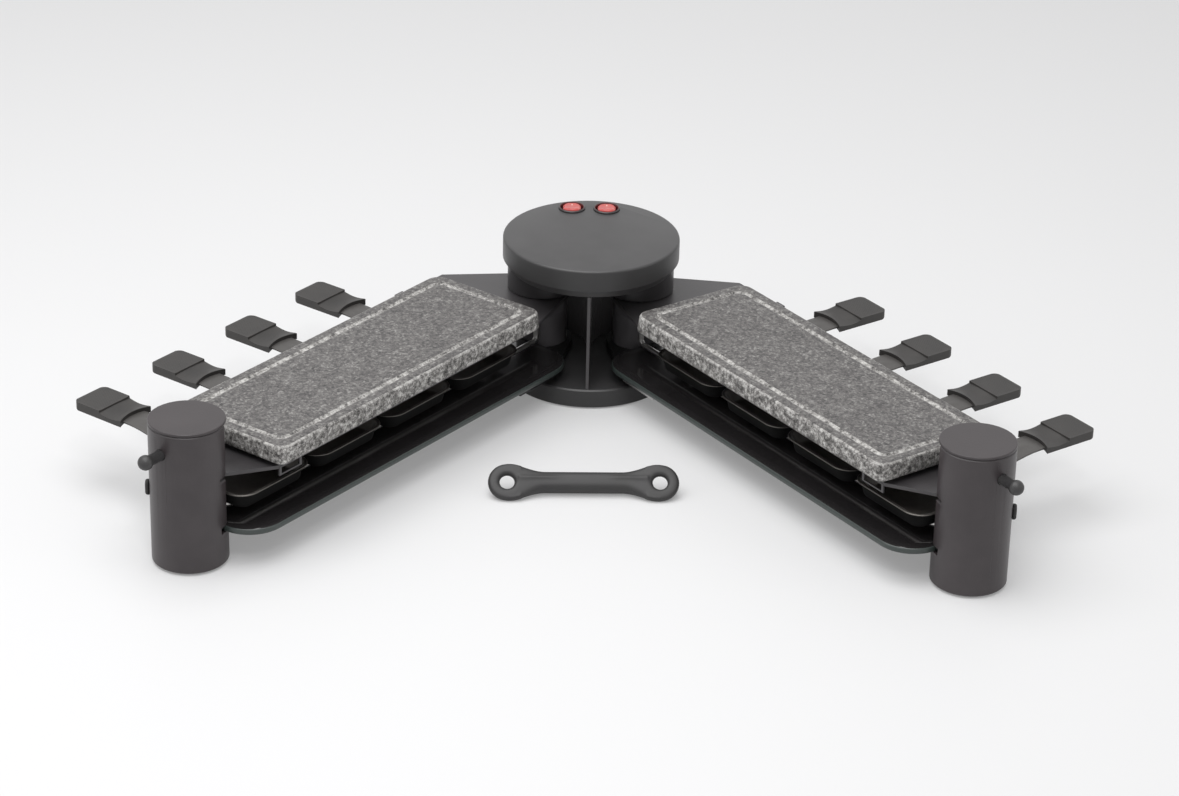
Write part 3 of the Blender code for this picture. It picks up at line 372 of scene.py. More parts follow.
def dress(node, finish, edge=0.0006):
    """Gives a node of the frame its finish, smooth shading and softened edges."""
    obj = frame["nodes"][node]
    mesh = obj.data
    for name in ("custom_normal", "sharp_edge", "sharp_face"):
        if name in mesh.attributes:
            mesh.attributes.remove(mesh.attributes[name])
    for polygon in mesh.polygons:
        polygon.use_smooth = True
    weld = obj.modifiers.new("weld", "WELD")
    weld.merge_threshold = WELD_REACH
    flat = obj.modifiers.new("flat", "DECIMATE")
    flat.decimate_type = "DISSOLVE"
    flat.angle_limit = FLAT_ANGLE
    soften(obj, edge, EDGE_ANGLE)
    obj.material_slots[0].material = finish.material


def soften(obj, edge, angle):
    """Rounds the edges at which faces meet more sharply than an angle."""
    bevel = obj.modifiers.new("bevel", "BEVEL")
    bevel.width = edge
    bevel.segments = 2
    bevel.limit_method = "ANGLE"
    bevel.angle_limit = angle
    bevel.use_clamp_overlap = True
    bevel.harden_normals = True


# Cap and base carry this plastic's painted shade on upright faces and its painted lighter tops.
cap_finish = lined_with_painted_shade("cap_plastic", (0.046, 0.045, 0.046), 0.40, 0.0016)
column_finish = moulded("column_plastic")
# Painted light: the front of the column beside its web gets lighter with height, streaked as from its
# ribs.
beside = abs(column_finish.axis("X"))
in_front = column_finish.axis("Y") < PANEL_BACK
panel_light_rise = column_finish.spread(column_finish.axis("Z"), PANEL_DARK_BELOW, PANEL_LIGHT_ABOVE)
painted_panel_light = (beside < PANEL_HALF) * (beside > WEB_HALF) * in_front * panel_light_rise
painted_rib_streaks = column_finish.spread(column_finish.noise(PANEL_RIB, 1.0, (1, 1, 0.01)), 0.35, 0.65)
column_finish.colour(column_finish.mix(
    painted_panel_light * (0.45 + 0.55 * painted_rib_streaks), (0.055, 0.052, 0.054), (0.30, 0.29, 0.295),
))
drum_finish = moulded("drum_plastic")
# A darker copy of the black plastic for the base plate and terminal block: painted shade inside the
# drum.
shaded_inner_finish = moulded("inner_plastic", (0.018, 0.018, 0.018), (0.022, 0.022, 0.022), 0.5)
dress("cap", cap_finish, 0.0005)
dress("cap_floor", drum_finish)
dress("base", cap_finish)
dress("base_plate", shaded_inner_finish)
dress("column", column_finish, 0.0003)
dress("terminal_block", shaded_inner_finish)


# Cord gland
# A soft black bush pressed into the back of the base, where a mains lead would come in.

rubber = moulded("rubber", (0.022, 0.022, 0.022), (0.030, 0.029, 0.028), 0.72, 0.0006)
dress("cord_gland", rubber, 0.0003)


# Hinge pins
# Steel tubes from base to cap. They are fixed, and the arms turn on them.

SIDES = {"left": -1, "right": 1}


def steel(name, light, dark, roughness, stretch):
    """Satin steel with fine lines along one way."""
    finish = Finish(name, light, roughness, metallic=1.0)
    lines = finish.noise(0.0012, 3.0, stretch)
    haze = finish.noise(0.03, 2.0)
    finish.colour(finish.mix(finish.spread(lines + 0.5 * haze, 0.5, 1.0), dark, light))
    finish.rough(roughness - 0.06 + 0.16 * lines)
    return finish.bump(lines, 0.00004)


pin_steel = steel("pin_steel", (0.60, 0.59, 0.58), (0.48, 0.47, 0.46), 0.32, (1, 1, 0.04))
for side_name in SIDES:
    dress("hinge_pin_" + side_name, pin_steel, 0.0003)


# Switches
# Two round rocker switches snapped into the cap. The housing is smooth black plastic with a painted
# red reflection of the key beside it, and the key is red with a pale mark.

SWITCH_AT = {"left": (-0.0179, 0.0557, 0.1283), "right": (0.0119, 0.0557, 0.1283)}
BEZEL_STEPS = 64
BEZEL_PROFILE = (
    (0.0000, -0.0056), (0.0095, -0.0056), (0.0097, 0.0000), (0.0099, 0.0014), (0.0102, 0.0018),
    (0.0106, 0.0017), (0.0111, 0.0011), (0.0115, 0.0003), (0.0098, 0.0003), (0.0098, -0.0120),
    (0.0000, -0.0120),
)
KEY_WIDTH, KEY_LENGTH, KEY_CORNER = 0.0152, 0.0176, 0.0058
KEY_TILT, KEY_CORNER_STEPS = math.radians(6), 6
KEY_HEIGHT, KEY_DEPTH, KEY_HOLLOW, KEY_HOLLOW_FROM = 0.0026, 0.0042, 0.0012, 0.0015
KEY_RINGS = (
    (0.0004, -KEY_DEPTH), (0.0, -KEY_DEPTH + 0.0006), (0.0, 0.0010), (0.0003, 0.0018),
    (0.0009, KEY_HEIGHT - 0.0002), (0.0016, KEY_HEIGHT), (0.0030, KEY_HEIGHT), (0.0044, KEY_HEIGHT),
)
MARK_AT, MARK_HALF_WIDTH, MARK_HALF_LENGTH = 0.0045, 0.0005, 0.0014
# Painted red reflection of the key on the housing, fading out between these radii.
RED_REFLECTION_NEAR, RED_REFLECTION_FAR = 0.000098, 0.000120  # squares of the radii between which the shine fades
PIECE_EDGE, PIECE_ANGLE = 0.0002, math.radians(50)
LEAST_RADIUS = 0.0004


def shape(name, edited):
    """A smooth mesh with outward faces from an edited one."""
    bmesh.ops.recalc_face_normals(edited, faces=edited.faces)
    if edited.calc_volume(signed=True) < 0:
        bmesh.ops.reverse_faces(edited, faces=edited.faces)
    mesh = bpy.data.meshes.new(name)
    edited.to_mesh(mesh)
    edited.free()
    mesh.shade_smooth()
    return mesh


def turned(name, profile, steps):
    """A turned mesh from (radius, height) points that start and end on the axis."""
    edited = bmesh.new()
    verts = [edited.verts.new((radius, 0, height)) for radius, height in profile]
    edges = [edited.edges.new(pair) for pair in zip(verts, verts[1:])]
    bmesh.ops.spin(
        edited, geom=verts + edges, cent=(0, 0, 0), axis=(0, 0, 1), angle=math.tau,
        steps=steps, use_merge=True,
    )
    bmesh.ops.remove_doubles(edited, verts=edited.verts, dist=0.000001)
    return shape(name, edited)


def piece(name, mesh, finishes, body, nodes, matrix):
    """Puts a mesh in the scene on a body, in place of nodes of the frame."""
    obj = bpy.data.objects.new(name, mesh)
    scene.collection.objects.link(obj)
    obj.matrix_world = matrix
    for finish in finishes:
        mesh.materials.append(finish.material)
    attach(obj, body)
    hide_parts(*nodes)
    return obj


def ring_points(low, high, corner, inset, steps, pitch=None):
    """A rounded rectangle drawn in by `inset`, always with the same number of points.

    With a pitch, each straight run is divided into lengths of about that size.
    """
    (x0, y0), (x1, y1) = low, high
    radius = max(corner - inset, LEAST_RADIUS)
    drawn = inset + radius
    points = []
    for quarter, (x, y) in enumerate((
        (x1 - drawn, y1 - drawn), (x0 + drawn, y1 - drawn),
        (x0 + drawn, y0 + drawn), (x1 - drawn, y0 + drawn),
    )):
        for i in range(steps + 1):
            turn = math.pi / 2 * (quarter + i / steps)
            points.append((x + radius * math.cos(turn), y + radius * math.sin(turn)))
    if not pitch:
        return points
    full = []
    for i, first in enumerate(points):
        full.append(first)
        if i % (steps + 1) == steps:
            second = points[(i + 1) % len(points)]
            length = y1 - y0 if i // (steps + 1) % 2 else x1 - x0
            count = max(int(length / pitch), 1)
            for k in range(1, count):
                full.append(tuple(a + (b - a) * k / count for a, b in zip(first, second)))
    return full


def lofted(name, rings):
    """Joins rings of points, each with the same number, and closes both ends."""
    edited = bmesh.new()
    loops = [[edited.verts.new(point) for point in ring] for ring in rings]
    for first, second in zip(loops, loops[1:]):
        for i in range(len(first)):
            k = (i + 1) % len(first)
            edited.faces.new((first[i], first[k], second[k], second[i]))
    edited.faces.new(loops[0])
    edited.faces.new(loops[-1])
    return shape(name, edited)


def key_mesh(name):
    """A rocker key, hollowed along its length so that both ends stand up."""
    half_x, half_y = KEY_WIDTH / 2, KEY_LENGTH / 2
    low, high = (-half_x, -half_y), (half_x, half_y)
    rings = []
    for inset, height in KEY_RINGS:
        ring = ring_points(low, high, KEY_CORNER, inset, KEY_CORNER_STEPS)
        dip = KEY_HOLLOW if height > KEY_HOLLOW_FROM else 0.0
        rings.append([(x, y, height - dip * (1 - (y / half_y) ** 2)) for x, y in ring])
    return lofted(name, rings)


bezel_finish = moulded("bezel_plastic", roughness=0.34)
bezel_x, bezel_y = bezel_finish.axis("X"), bezel_finish.axis("Y")
# Painted light: the housing is tinted red next to the key, as a reflection of it.
painted_red_reflection = bezel_finish.spread(bezel_x * bezel_x + bezel_y * bezel_y, RED_REFLECTION_NEAR, RED_REFLECTION_FAR, 1.0, 0.0)
bezel_finish.colour(bezel_finish.mix(painted_red_reflection, (0.032, 0.030, 0.031), (0.075, 0.014, 0.014)))
key_red = Finish(
    "key_red", (0.52, 0.07, 0.06), 0.30, specular_ior_level=0.5, subsurface_weight=0.2,
    subsurface_scale=0.004, coat_weight=0.1,
)
mark_width = abs(key_red.axis("X")) < MARK_HALF_WIDTH
mark = mark_width * (abs(key_red.axis("Y") - MARK_AT) < MARK_HALF_LENGTH)
clouds = key_red.spread(key_red.noise(0.004, 2.0), 0.3, 0.7)
tint = key_red.mix(clouds, (0.46, 0.055, 0.055), (0.55, 0.10, 0.085))
key_red.colour(key_red.mix(mark, tint, (0.75, 0.45, 0.42)))
key_red.rough(0.28 + 0.12 * key_red.noise(0.002, 2.0))
for side_name, spot in SWITCH_AT.items():
    piece(
        "switch_housing_" + side_name, turned("switch_housing", BEZEL_PROFILE, BEZEL_STEPS),
        [bezel_finish], "drum", ["switch_" + side_name], Matrix.Translation(spot),
    )
    soften(piece(
        "switch_key_" + side_name, key_mesh("switch_key"), [key_red], "rocker_" + side_name,
        ["rocker_" + side_name],
        Matrix.Translation(spot) @ Matrix.Rotation(-KEY_TILT, 4, "X"),
    ), PIECE_EDGE, PIECE_ANGLE)


# Hinge barrels and boxes
# The barrel is the broad drum of each hinge, and the box below it takes the heater's ends. Both are
# satin black plastic, given a lighter black than the drum as painted light: the barrel has level
# lines from turning with painted shade on its upright faces, and the box is plain.

# Painted light: both blacks are lighter than the drum's plastic, the box's most of all.
barrel_lit_finish = lined_with_painted_shade("barrel_plastic", (0.080, 0.076, 0.080), 0.40, 0.003)
hub_lit_finish = moulded("hub_plastic", (0.11, 0.104, 0.11), (0.13, 0.123, 0.13), 0.42)
for side_name in SIDES:
    dress("hinge_barrel_" + side_name, barrel_lit_finish, 0.0006)
    dress("hinge_box_" + side_name, hub_lit_finish, 0.0005)


# Hoods
# Pressed steel covers, enamelled satin black, with two raised rests and a stirrup for the slab. The
# enamel has a faint orange peel.

ENAMEL_BLACK = (0.044, 0.041, 0.043)


def enamel(name, black, roughness):
    """Satin enamel with broad worn patches and a faint orange peel."""
    finish = Finish(name, black, roughness, specular_ior_level=0.5)
    haze = finish.noise(0.035, 3.0)
    finish.colour(finish.mix(finish.spread(haze, 0.35, 0.7), black, toned(black, 1.35)))
    finish.rough(roughness - 0.06 + 0.14 * haze)
    peel = finish.noise(0.0022, 1.5)
    return finish.bump(peel, 0.00006)


hood_enamel = enamel("hood_enamel", ENAMEL_BLACK, 0.36)
for side_name in SIDES:
    dress("hood_" + side_name, hood_enamel, 0.0008)


# Slabs
# Sawn plates of fine grey granite with a shallow groove ground into the top. The sides and the
# groove are rough and pale, and the flat top is rubbed smooth and darker.

HINGE_AT = (0.0412, 0.0101)
HALF_ANGLE = math.radians(36.12)
SLAB_LOW, SLAB_HIGH = (0.0720, -0.0575), (0.3970, 0.0575)
SLAB_CORNER, SLAB_ROUNDING, SLAB_TURN = 0.0078, 0.0040, 0.0205
SLAB_UNDER, SLAB_OVER, SLAB_THICK = 0.0800, 0.0952, 0.0152
SLAB_MIDDLE, SLAB_PITCH, SLAB_CORNER_STEPS = 0.2345, 0.0030, 8
SLAB_RINGS = (
    (0.0030, SLAB_UNDER), (0.0012, SLAB_UNDER + 0.0001), (0.0003, SLAB_UNDER + 0.0009),
    (0.0001, SLAB_UNDER + 0.0030), (0.0001, SLAB_UNDER + 0.0055), (0.0001, SLAB_UNDER + 0.0080),
    (0.0001, SLAB_UNDER + 0.0105), (0.0002, SLAB_OVER - 0.0024), (0.0006, SLAB_OVER - 0.0011),
    (0.0014, SLAB_OVER - 0.0003), (0.0024, SLAB_OVER), (0.0055, SLAB_OVER), (0.0085, SLAB_OVER),
    (0.0098, SLAB_OVER), (0.0104, SLAB_OVER - 0.0005), (0.0112, SLAB_OVER - 0.0011),
    (0.0122, SLAB_OVER - 0.0014), (0.0132, SLAB_OVER - 0.0011), (0.0140, SLAB_OVER - 0.0005),
    (0.0146, SLAB_OVER), (0.0162, SLAB_OVER), (0.0220, SLAB_OVER), (0.0340, SLAB_OVER),
)
TURN_FROM, TURN_RUN = 0.0024, 0.0074
SAWN_WEAR, SAWN_WEAR_FINE, GROOVE_WEAR = 0.00045, 0.0002, 0.00030
SAWN_INSET, GROOVE_FROM, GROOVE_TO = 0.0020, 0.0095, 0.0150
SAWN_HEIGHTS, GROOVE_HEIGHTS, LEVEL_SHARES = (0.0938, 0.0932), (0.09518, 0.09500), (0.70, 0.97)


def arm_place(side):
    """The frame of an arm: +X from its hinge to its leg."""
    spot = Matrix.Translation((side * HINGE_AT[0], HINGE_AT[1], 0))
    return spot @ Matrix.Rotation(side * HALF_ANGLE - math.pi / 2, 4, "Z")


def held(value):
    """A value kept between 0 and 1."""
    return min(max(value, 0), 1)


def worn_spot(spot, inset):
    """Moves a point of the plate inward at the saw-cut sides, and down in the groove."""
    if inset < SAWN_INSET:
        coarse, fine = 0.5 + 0.5 * noise.noise(spot * 260), abs(noise.noise(spot * 900))
        inward = Vector((SLAB_MIDDLE - spot.x, -spot.y, 0)).normalized()
        return spot + inward * (SAWN_WEAR * coarse + SAWN_WEAR_FINE * fine)
    if GROOVE_FROM < inset < GROOVE_TO:
        return spot - Vector((0, 0, GROOVE_WEAR * abs(noise.noise(spot * 420))))
    return spot


def slab_mesh(name, side):
    """The plate as rings, worn irregular at the saw-cut sides and at the edges of the groove."""
    rings = []
    for inset, height in SLAB_RINGS:
        outer = SLAB_CORNER + SLAB_ROUNDING * held((height - SLAB_UNDER) / SLAB_THICK)
        corner = outer + (SLAB_TURN - outer) * held((inset - TURN_FROM) / TURN_RUN)
        points = ring_points(SLAB_LOW, SLAB_HIGH, corner, inset, SLAB_CORNER_STEPS, SLAB_PITCH)
        spots = [worn_spot(Vector((x, y, height)), inset) for x, y in points]
        rings.append([(spot.x, side * spot.y, spot.z) for spot in spots])
    return lofted(name, rings)


granite = Finish("granite", (0.13, 0.13, 0.125), 0.5, specular_ior_level=0.4)
grains = granite.cells(0.0026)
grain_light = granite.node("ShaderNodeSeparateColor", {}, {0: grains}, output=0)
flakes = granite.cells(0.0014)
flake_light = granite.node("ShaderNodeSeparateColor", {}, {0: flakes}, output=1)
speck = granite.spread(granite.noise(0.0022, 4.0, roughness=0.7), 0.38, 0.62)
cloud = granite.noise(0.014, 3.0)
tone = 0.30 * grain_light + 0.26 * flake_light + 0.34 * speck + 0.30 * cloud
stone = granite.ramp(
    tone, (0.22, (0.030, 0.029, 0.030)), (0.44, (0.072, 0.067, 0.067)),
    (0.62, (0.112, 0.106, 0.103)), (0.80, (0.172, 0.166, 0.160)), (0.98, (0.300, 0.292, 0.282)),
)
height_in = granite.axis("Z")
sawn = granite.spread(height_in, *SAWN_HEIGHTS) * (
    1 - granite.spread(granite.facing_up(), *LEVEL_SHARES)
)
ground_in = granite.spread(height_in, *GROOVE_HEIGHTS) * (1 - sawn)
clumps = granite.spread(granite.noise(0.0065, 5.0, roughness=0.75), 0.36, 0.64)
chips = granite.spread(granite.noise(0.0030, 5.0, roughness=0.8), 0.40, 0.60)
broken = 0.55 * clumps + 0.45 * chips
rough_stone = granite.ramp(
    broken, (0.10, (0.040, 0.038, 0.037)), (0.34, (0.13, 0.125, 0.12)),
    (0.58, (0.28, 0.27, 0.26)), (0.85, (0.60, 0.59, 0.57)),
)
groove_stone = granite.ramp(
    broken, (0.14, (0.060, 0.058, 0.056)), (0.42, (0.26, 0.25, 0.24)), (0.80, (0.56, 0.55, 0.53)),
)
granite.colour(granite.mix(sawn, granite.mix(ground_in, stone, groove_stone), rough_stone))
granite.rough(0.44 + 0.30 * sawn + 0.10 * speck)
granite.bump(speck * (0.22 + 0.50 * sawn) + 0.8 * broken * sawn.highest(ground_in), 0.00040)
for side_name, side in SIDES.items():
    piece(
        "granite_plate_" + side_name, slab_mesh("granite_plate", side), [granite],
        "slab_" + side_name, ["slab_" + side_name], arm_place(side),
    )


# Heaters and pan rails
# A tubular element bent to a hairpin hangs under each hood, dulled and tinted by heat. The rail
# below it is satin steel rod, and the pans stand on it.

element_finish = Finish("heater_sheath", (0.09, 0.085, 0.08), 0.42, metallic=0.6)
tint_share = element_finish.spread(element_finish.noise(0.03, 3.0), 0.35, 0.68)
element_finish.colour(element_finish.mix(tint_share, (0.06, 0.056, 0.054), (0.16, 0.13, 0.10)))
element_finish.rough(0.34 + 0.2 * element_finish.noise(0.004, 3.0))
element_finish.bump(element_finish.noise(0.0012, 2.0), 0.00005)
rail_steel = steel("rail_steel", (0.56, 0.55, 0.54), (0.42, 0.41, 0.40), 0.30, (1, 1, 1))
for side_name in SIDES:
    dress("heater_" + side_name, element_finish, 0.0003)
    dress("pan_rail_" + side_name, rail_steel, 0.0003)


# Pans
# Shallow dishes pressed from thin steel, with a rolled rim and a flat strip for the grip. Inside
# they carry a brown-grey non-stick coat and outside a dull black one, darkened to near black with
# hardly any gloss as painted shade under the slab. The rim is rubbed to the steel.

PAN_FIRST, PAN_PITCH, PAN_COUNT = 0.1224, 0.0878, 4
PAN_LENGTH, PAN_FRONT, PAN_BACK, PAN_CORNER = 0.0840, 0.0445, 0.0475, 0.0160
PAN_CORNER_STEPS = 8
RIM_FROM_RING, INSIDE_FROM_RING = 7, 12
PAN_RINGS = (
    (0.0180, 0.0460), (0.0090, 0.0460), (0.0074, 0.0463), (0.0063, 0.0472), (0.0057, 0.0486),
    (0.0033, 0.0580), (0.0027, 0.0588), (0.0008, 0.0588), (0.0002, 0.0590), (0.0000, 0.0594),
    (0.0002, 0.0598), (0.0008, 0.0600), (0.0020, 0.0600), (0.0028, 0.0597), (0.0034, 0.0588),
    (0.0060, 0.0494), (0.0067, 0.0482), (0.0080, 0.0474), (0.0095, 0.0472), (0.0180, 0.0472),
)
SHEET_MIDDLE = 0.0466
STEM_HALF, STEM_SHEET = 0.0125, 0.0016
STEM_RIB_SHARE, STEM_RIB_STOP, STEM_EDGE = 0.6, 0.104, 0.0002
STEM_PATH = (
    (0.0462, 0.0594), (0.0600, 0.0594), (0.0660, 0.0600), (0.0920, 0.0645), (0.0980, 0.0652),
    (0.1060, 0.0655), (0.1265, 0.0655),
)
STEM_SHARES = (-1.0, -0.94, -0.60, -0.34, -0.20, 0.0, 0.20, 0.34, 0.60, 0.94, 1.0)
STEM_LIFTS = (-0.35, 0.0, 0.0, 0.0, 0.5, 0.7, 0.5, 0.0, 0.0, 0.0, -0.35)


def pan_mesh(name):
    """The dish from the middle of its underside out to the rim and back along its inside."""
    low, high = (-PAN_LENGTH / 2, -PAN_FRONT), (PAN_LENGTH / 2, PAN_BACK)
    return lofted(name, [
        [(x, y, height) for x, y in ring_points(low, high, PAN_CORNER, inset, PAN_CORNER_STEPS)]
        for inset, height in PAN_RINGS
    ])


def stem_mesh(name):
    """The strip from the rim up into the grip, with a shallow raised rib along its middle."""
    rings = []
    for out, height in STEM_PATH:
        rib = STEM_SHEET * (out < STEM_RIB_STOP)
        top, under = [], []
        for share, lift in zip(STEM_SHARES, STEM_LIFTS):
            edge = STEM_EDGE * (lift < 0)
            x = STEM_HALF * share
            top.append((x, out, height + rib * max(lift, 0) * STEM_RIB_SHARE - edge))
            under.append((x, out, height - STEM_SHEET + edge))
        rings.append(top + under[::-1])
    return lofted(name, rings)


def coated(name, dark, light, roughness, metallic, gloss):
    """A sprayed coat with fine specks and broad dull patches."""
    finish = Finish(name, dark, roughness, metallic=metallic, specular_ior_level=gloss)
    specks = finish.noise(0.0011, 3.0)
    finish.colour(finish.mix(finish.spread(finish.noise(0.02, 3.0), 0.3, 0.7), dark, light))
    finish.rough(roughness - 0.05 + 0.14 * specks)
    return finish.bump(specks, 0.00004)


pan_inside = coated("pan_inside", (0.085, 0.076, 0.070), (0.125, 0.114, 0.104), 0.34, 0.3, 0.5)
# Partly painted shade: the outer coat is near black and almost without gloss, darker than a black
# coat alone.
pan_outside = coated("pan_outside", (0.004, 0.004, 0.004), (0.007, 0.007, 0.007), 0.62, 0.0, 0.08)
pan_rim = steel("pan_rim", (0.16, 0.15, 0.14), (0.09, 0.085, 0.08), 0.42, (1, 1, 1))
stem_coat = Finish("stem_coat", (0.085, 0.080, 0.077), 0.42, metallic=0.3, specular_ior_level=0.5)
stem_spots = stem_coat.noise(0.0014, 3.0)
stem_coat.colour(stem_coat.mix(stem_spots, (0.070, 0.066, 0.064), (0.100, 0.095, 0.090)))
stem_coat.rough(0.36 + 0.14 * stem_spots)
stem_coat.bump(stem_spots, 0.00004)


def turned_side(mesh, side):
    """The same mesh for the other arm, whose grips point the other way."""
    if side < 0:
        mesh.transform(Matrix.Rotation(math.pi, 4, "Z"))
    return mesh


def pan_place(side, number):
    """The frame of a pan, on its arm."""
    along = PAN_FIRST + number * PAN_PITCH
    return arm_place(side) @ Matrix.Translation((along, 0, 0))


for side_name, side in SIDES.items():
    for number in range(PAN_COUNT):
        key = f"{side_name}_{number + 1}"
        dish = piece(
            "pan_dish_" + key, turned_side(pan_mesh("pan_dish"), side),
            [pan_outside, pan_rim, pan_inside], "pan_" + key, ["pan_" + key],
            pan_place(side, number),
        )
        ring_faces = len(dish.data.polygons) // (len(PAN_RINGS) - 1)
        for index, polygon in enumerate(dish.data.polygons):
            ring = index // ring_faces
            polygon.material_index = (ring >= RIM_FROM_RING) + (ring >= INSIDE_FROM_RING)
            if ring >= len(PAN_RINGS) - 1:
                polygon.material_index = 2 if polygon.center.z > SHEET_MIDDLE else 0
        stem = piece(
            "pan_stem_" + key, turned_side(stem_mesh("pan_stem"), side), [stem_coat],
            "pan_" + key, ["pan_" + key], pan_place(side, number),
        )
        soften(stem, PIECE_EDGE, PIECE_ANGLE)


# Grips
# Moulded heat-proof plastic pushed on to the stem: a hollow for the finger next to the pan, a step,
# and a flat end with fine cross ribs.

GRIP_START, GRIP_STOP, GRIP_STEP_AT = 0.1082, 0.1600, 0.1315
GRIP_HALF, GRIP_TOP = 0.0175, 0.0700
GRIP_UNDER = 0.0627
GRIP_CORNER = 0.0060
GRIP_NOTCH = 0.0040
GRIP_STEP, GRIP_HOLLOW, GRIP_CROWN, GRIP_END_RISE = 0.0014, 0.0022, 0.0006, 0.0022
HOLLOW_REACH, HOLLOW_SIDE_LOSS, GRIP_EDGE = 1.05, 0.35, 0.0005
RIB_PITCH, RIB_HEIGHT = 0.0016, 0.00022
RIB_END_ROOM, RIB_SIDE_SHARE = 0.003, 0.9
HOLLOW_PITCH, HOLLOW_STATIONS = 0.0012, 19
ACROSS_COUNT = 20


def grip_height(at, share):
    """Height of the grip's top at a place along it and a share of its half width."""
    if at >= GRIP_STEP_AT:
        wave = 0.5 + 0.5 * math.cos(math.tau * (at - GRIP_STEP_AT) / RIB_PITCH)
        inside = at < GRIP_STOP - RIB_END_ROOM and abs(share) < RIB_SIDE_SHARE
        return GRIP_TOP - (RIB_HEIGHT * wave if inside else 0)
    along = (GRIP_STEP_AT - at) / (GRIP_STEP_AT - GRIP_START)
    dip = GRIP_HOLLOW * math.sin(math.pi * min(along * HOLLOW_REACH, 1))
    crown = GRIP_CROWN * share * share
    return GRIP_TOP - GRIP_STEP - dip * (1 - HOLLOW_SIDE_LOSS * share * share) - crown


def border(rows):
    """The points along the border of a grid."""
    ends = [row[-1] for row in rows[1:]], [row[0] for row in rows[-2:0:-1]]
    return rows[0] + ends[0] + rows[-1][-2::-1] + ends[1]


def grip_mesh(name):
    """The grip as a grid over its plan, with a top, an underside and walls between."""
    stations = [GRIP_START + i * HOLLOW_PITCH for i in range(HOLLOW_STATIONS)]
    stations += [GRIP_STEP_AT - 0.0003, GRIP_STEP_AT]
    at = GRIP_STEP_AT + RIB_PITCH / 4
    while at < GRIP_STOP - 0.0010:
        stations.append(at)
        at += RIB_PITCH / 4
    stations += [GRIP_STOP - 0.0008, GRIP_STOP - 0.0002]
    shares = [math.sin(math.pi / 2 * (2 * i / ACROSS_COUNT - 1)) for i in range(ACROSS_COUNT + 1)]
    edited = bmesh.new()
    top, under = [], []
    for at in stations:
        past = max(at - (GRIP_STOP - GRIP_CORNER), 0)
        half = GRIP_HALF - GRIP_CORNER + math.sqrt(max(GRIP_CORNER ** 2 - past ** 2, 0))
        lead = (GRIP_STEP_AT - at) / (GRIP_STEP_AT - GRIP_START)
        rows = ([], [])
        for share in shares:
            y = at + (GRIP_NOTCH * lead * (1 - share * share) if lead > 0 else 0)
            x = half * share
            rows[0].append(edited.verts.new((x, y, grip_height(at, share))))
            low = GRIP_UNDER + GRIP_END_RISE * (past / GRIP_CORNER) ** 2
            rows[1].append(edited.verts.new((x, y, low)))
        top.append(rows[0])
        under.append(rows[1])
    for first, second in zip(top, top[1:]):
        for i in range(ACROSS_COUNT):
            edited.faces.new((first[i], first[i + 1], second[i + 1], second[i]))
    for first, second in zip(under, under[1:]):
        for i in range(ACROSS_COUNT):
            edited.faces.new((second[i], second[i + 1], first[i + 1], first[i]))
    rim, foot = border(top), border(under)
    for i in range(len(rim)):
        k = (i + 1) % len(rim)
        edited.faces.new((rim[i], foot[i], foot[k], rim[k]))
    return shape(name, edited)


grip_finish = moulded("grip_plastic", (0.024, 0.022, 0.021), (0.036, 0.033, 0.031), 0.50, 0.0006)
for side_name, side in SIDES.items():
    for number in range(PAN_COUNT):
        key = f"{side_name}_{number + 1}"
        grip = piece(
            "grip_" + key, turned_side(grip_mesh("grip"), side), [grip_finish],
            "pan_" + key, ["pan_grip_" + key], pan_place(side, number),
        )
        soften(grip, GRIP_EDGE, PIECE_ANGLE)


# Trays
# Black toughened glass with a ground edge that shows green. A pressed steel bracket on the hinge
# carries each tray's inner end. It is painted black, apart from the lip of the right arm's bracket.

TRAY_LOW, TRAY_HIGH, TRAY_CORNER = (0.0225, -0.0575), (0.4314, 0.0575), 0.0300
TRAY_CORNER_STEPS = 16
TRAY_UNDER, TRAY_OVER = 0.0283, 0.0333
TRAY_RINGS = (
    (0.0100, TRAY_UNDER), (0.0009, TRAY_UNDER), (0.0002, TRAY_UNDER + 0.0007),
    (0.0000, TRAY_UNDER + 0.0015), (0.0000, TRAY_OVER - 0.0015), (0.0002, TRAY_OVER - 0.0007),
    (0.0009, TRAY_OVER), (0.0100, TRAY_OVER),
)
LEVEL_FACE, PAINTED_TO, EDGE_FACE = 0.7, 0.030, 0.8

glass_top = Finish("tray_glass", (0.012, 0.012, 0.012), 0.09, specular_ior_level=0.8)
smears = glass_top.noise(0.03, 3.0)
glass_top.colour(glass_top.mix(smears, (0.016, 0.015, 0.015), (0.022, 0.020, 0.021)))
glass_top.rough(0.07 + 0.09 * smears)
glass_top.bump(glass_top.noise(0.05, 1.0), 0.00004)
glass_edge = Finish("tray_edge", (0.03, 0.04, 0.037), 0.30, specular_ior_level=0.5)
ground = glass_edge.noise(0.0008, 2.0, (1, 1, 0.3))
glass_edge.colour(glass_edge.mix(ground, (0.020, 0.027, 0.025), (0.048, 0.060, 0.056)))
glass_edge.rough(0.22 + 0.2 * ground)
glass_edge.bump(ground, 0.00003)
bracket_steel = steel("bracket_steel", (0.62, 0.61, 0.60), (0.50, 0.49, 0.48), 0.36, (0.1, 0.1, 1))
level_face = abs(bracket_steel.facing_up()) > LEVEL_FACE
painted = level_face.highest(bracket_steel.axis("X") < PAINTED_TO)
bracket_steel.colour(bracket_steel.mix(painted, (0.58, 0.57, 0.56), (0.014, 0.014, 0.014)))
bracket_steel.feed(bracket_steel.shader.inputs["Metallic"], 1 - painted)
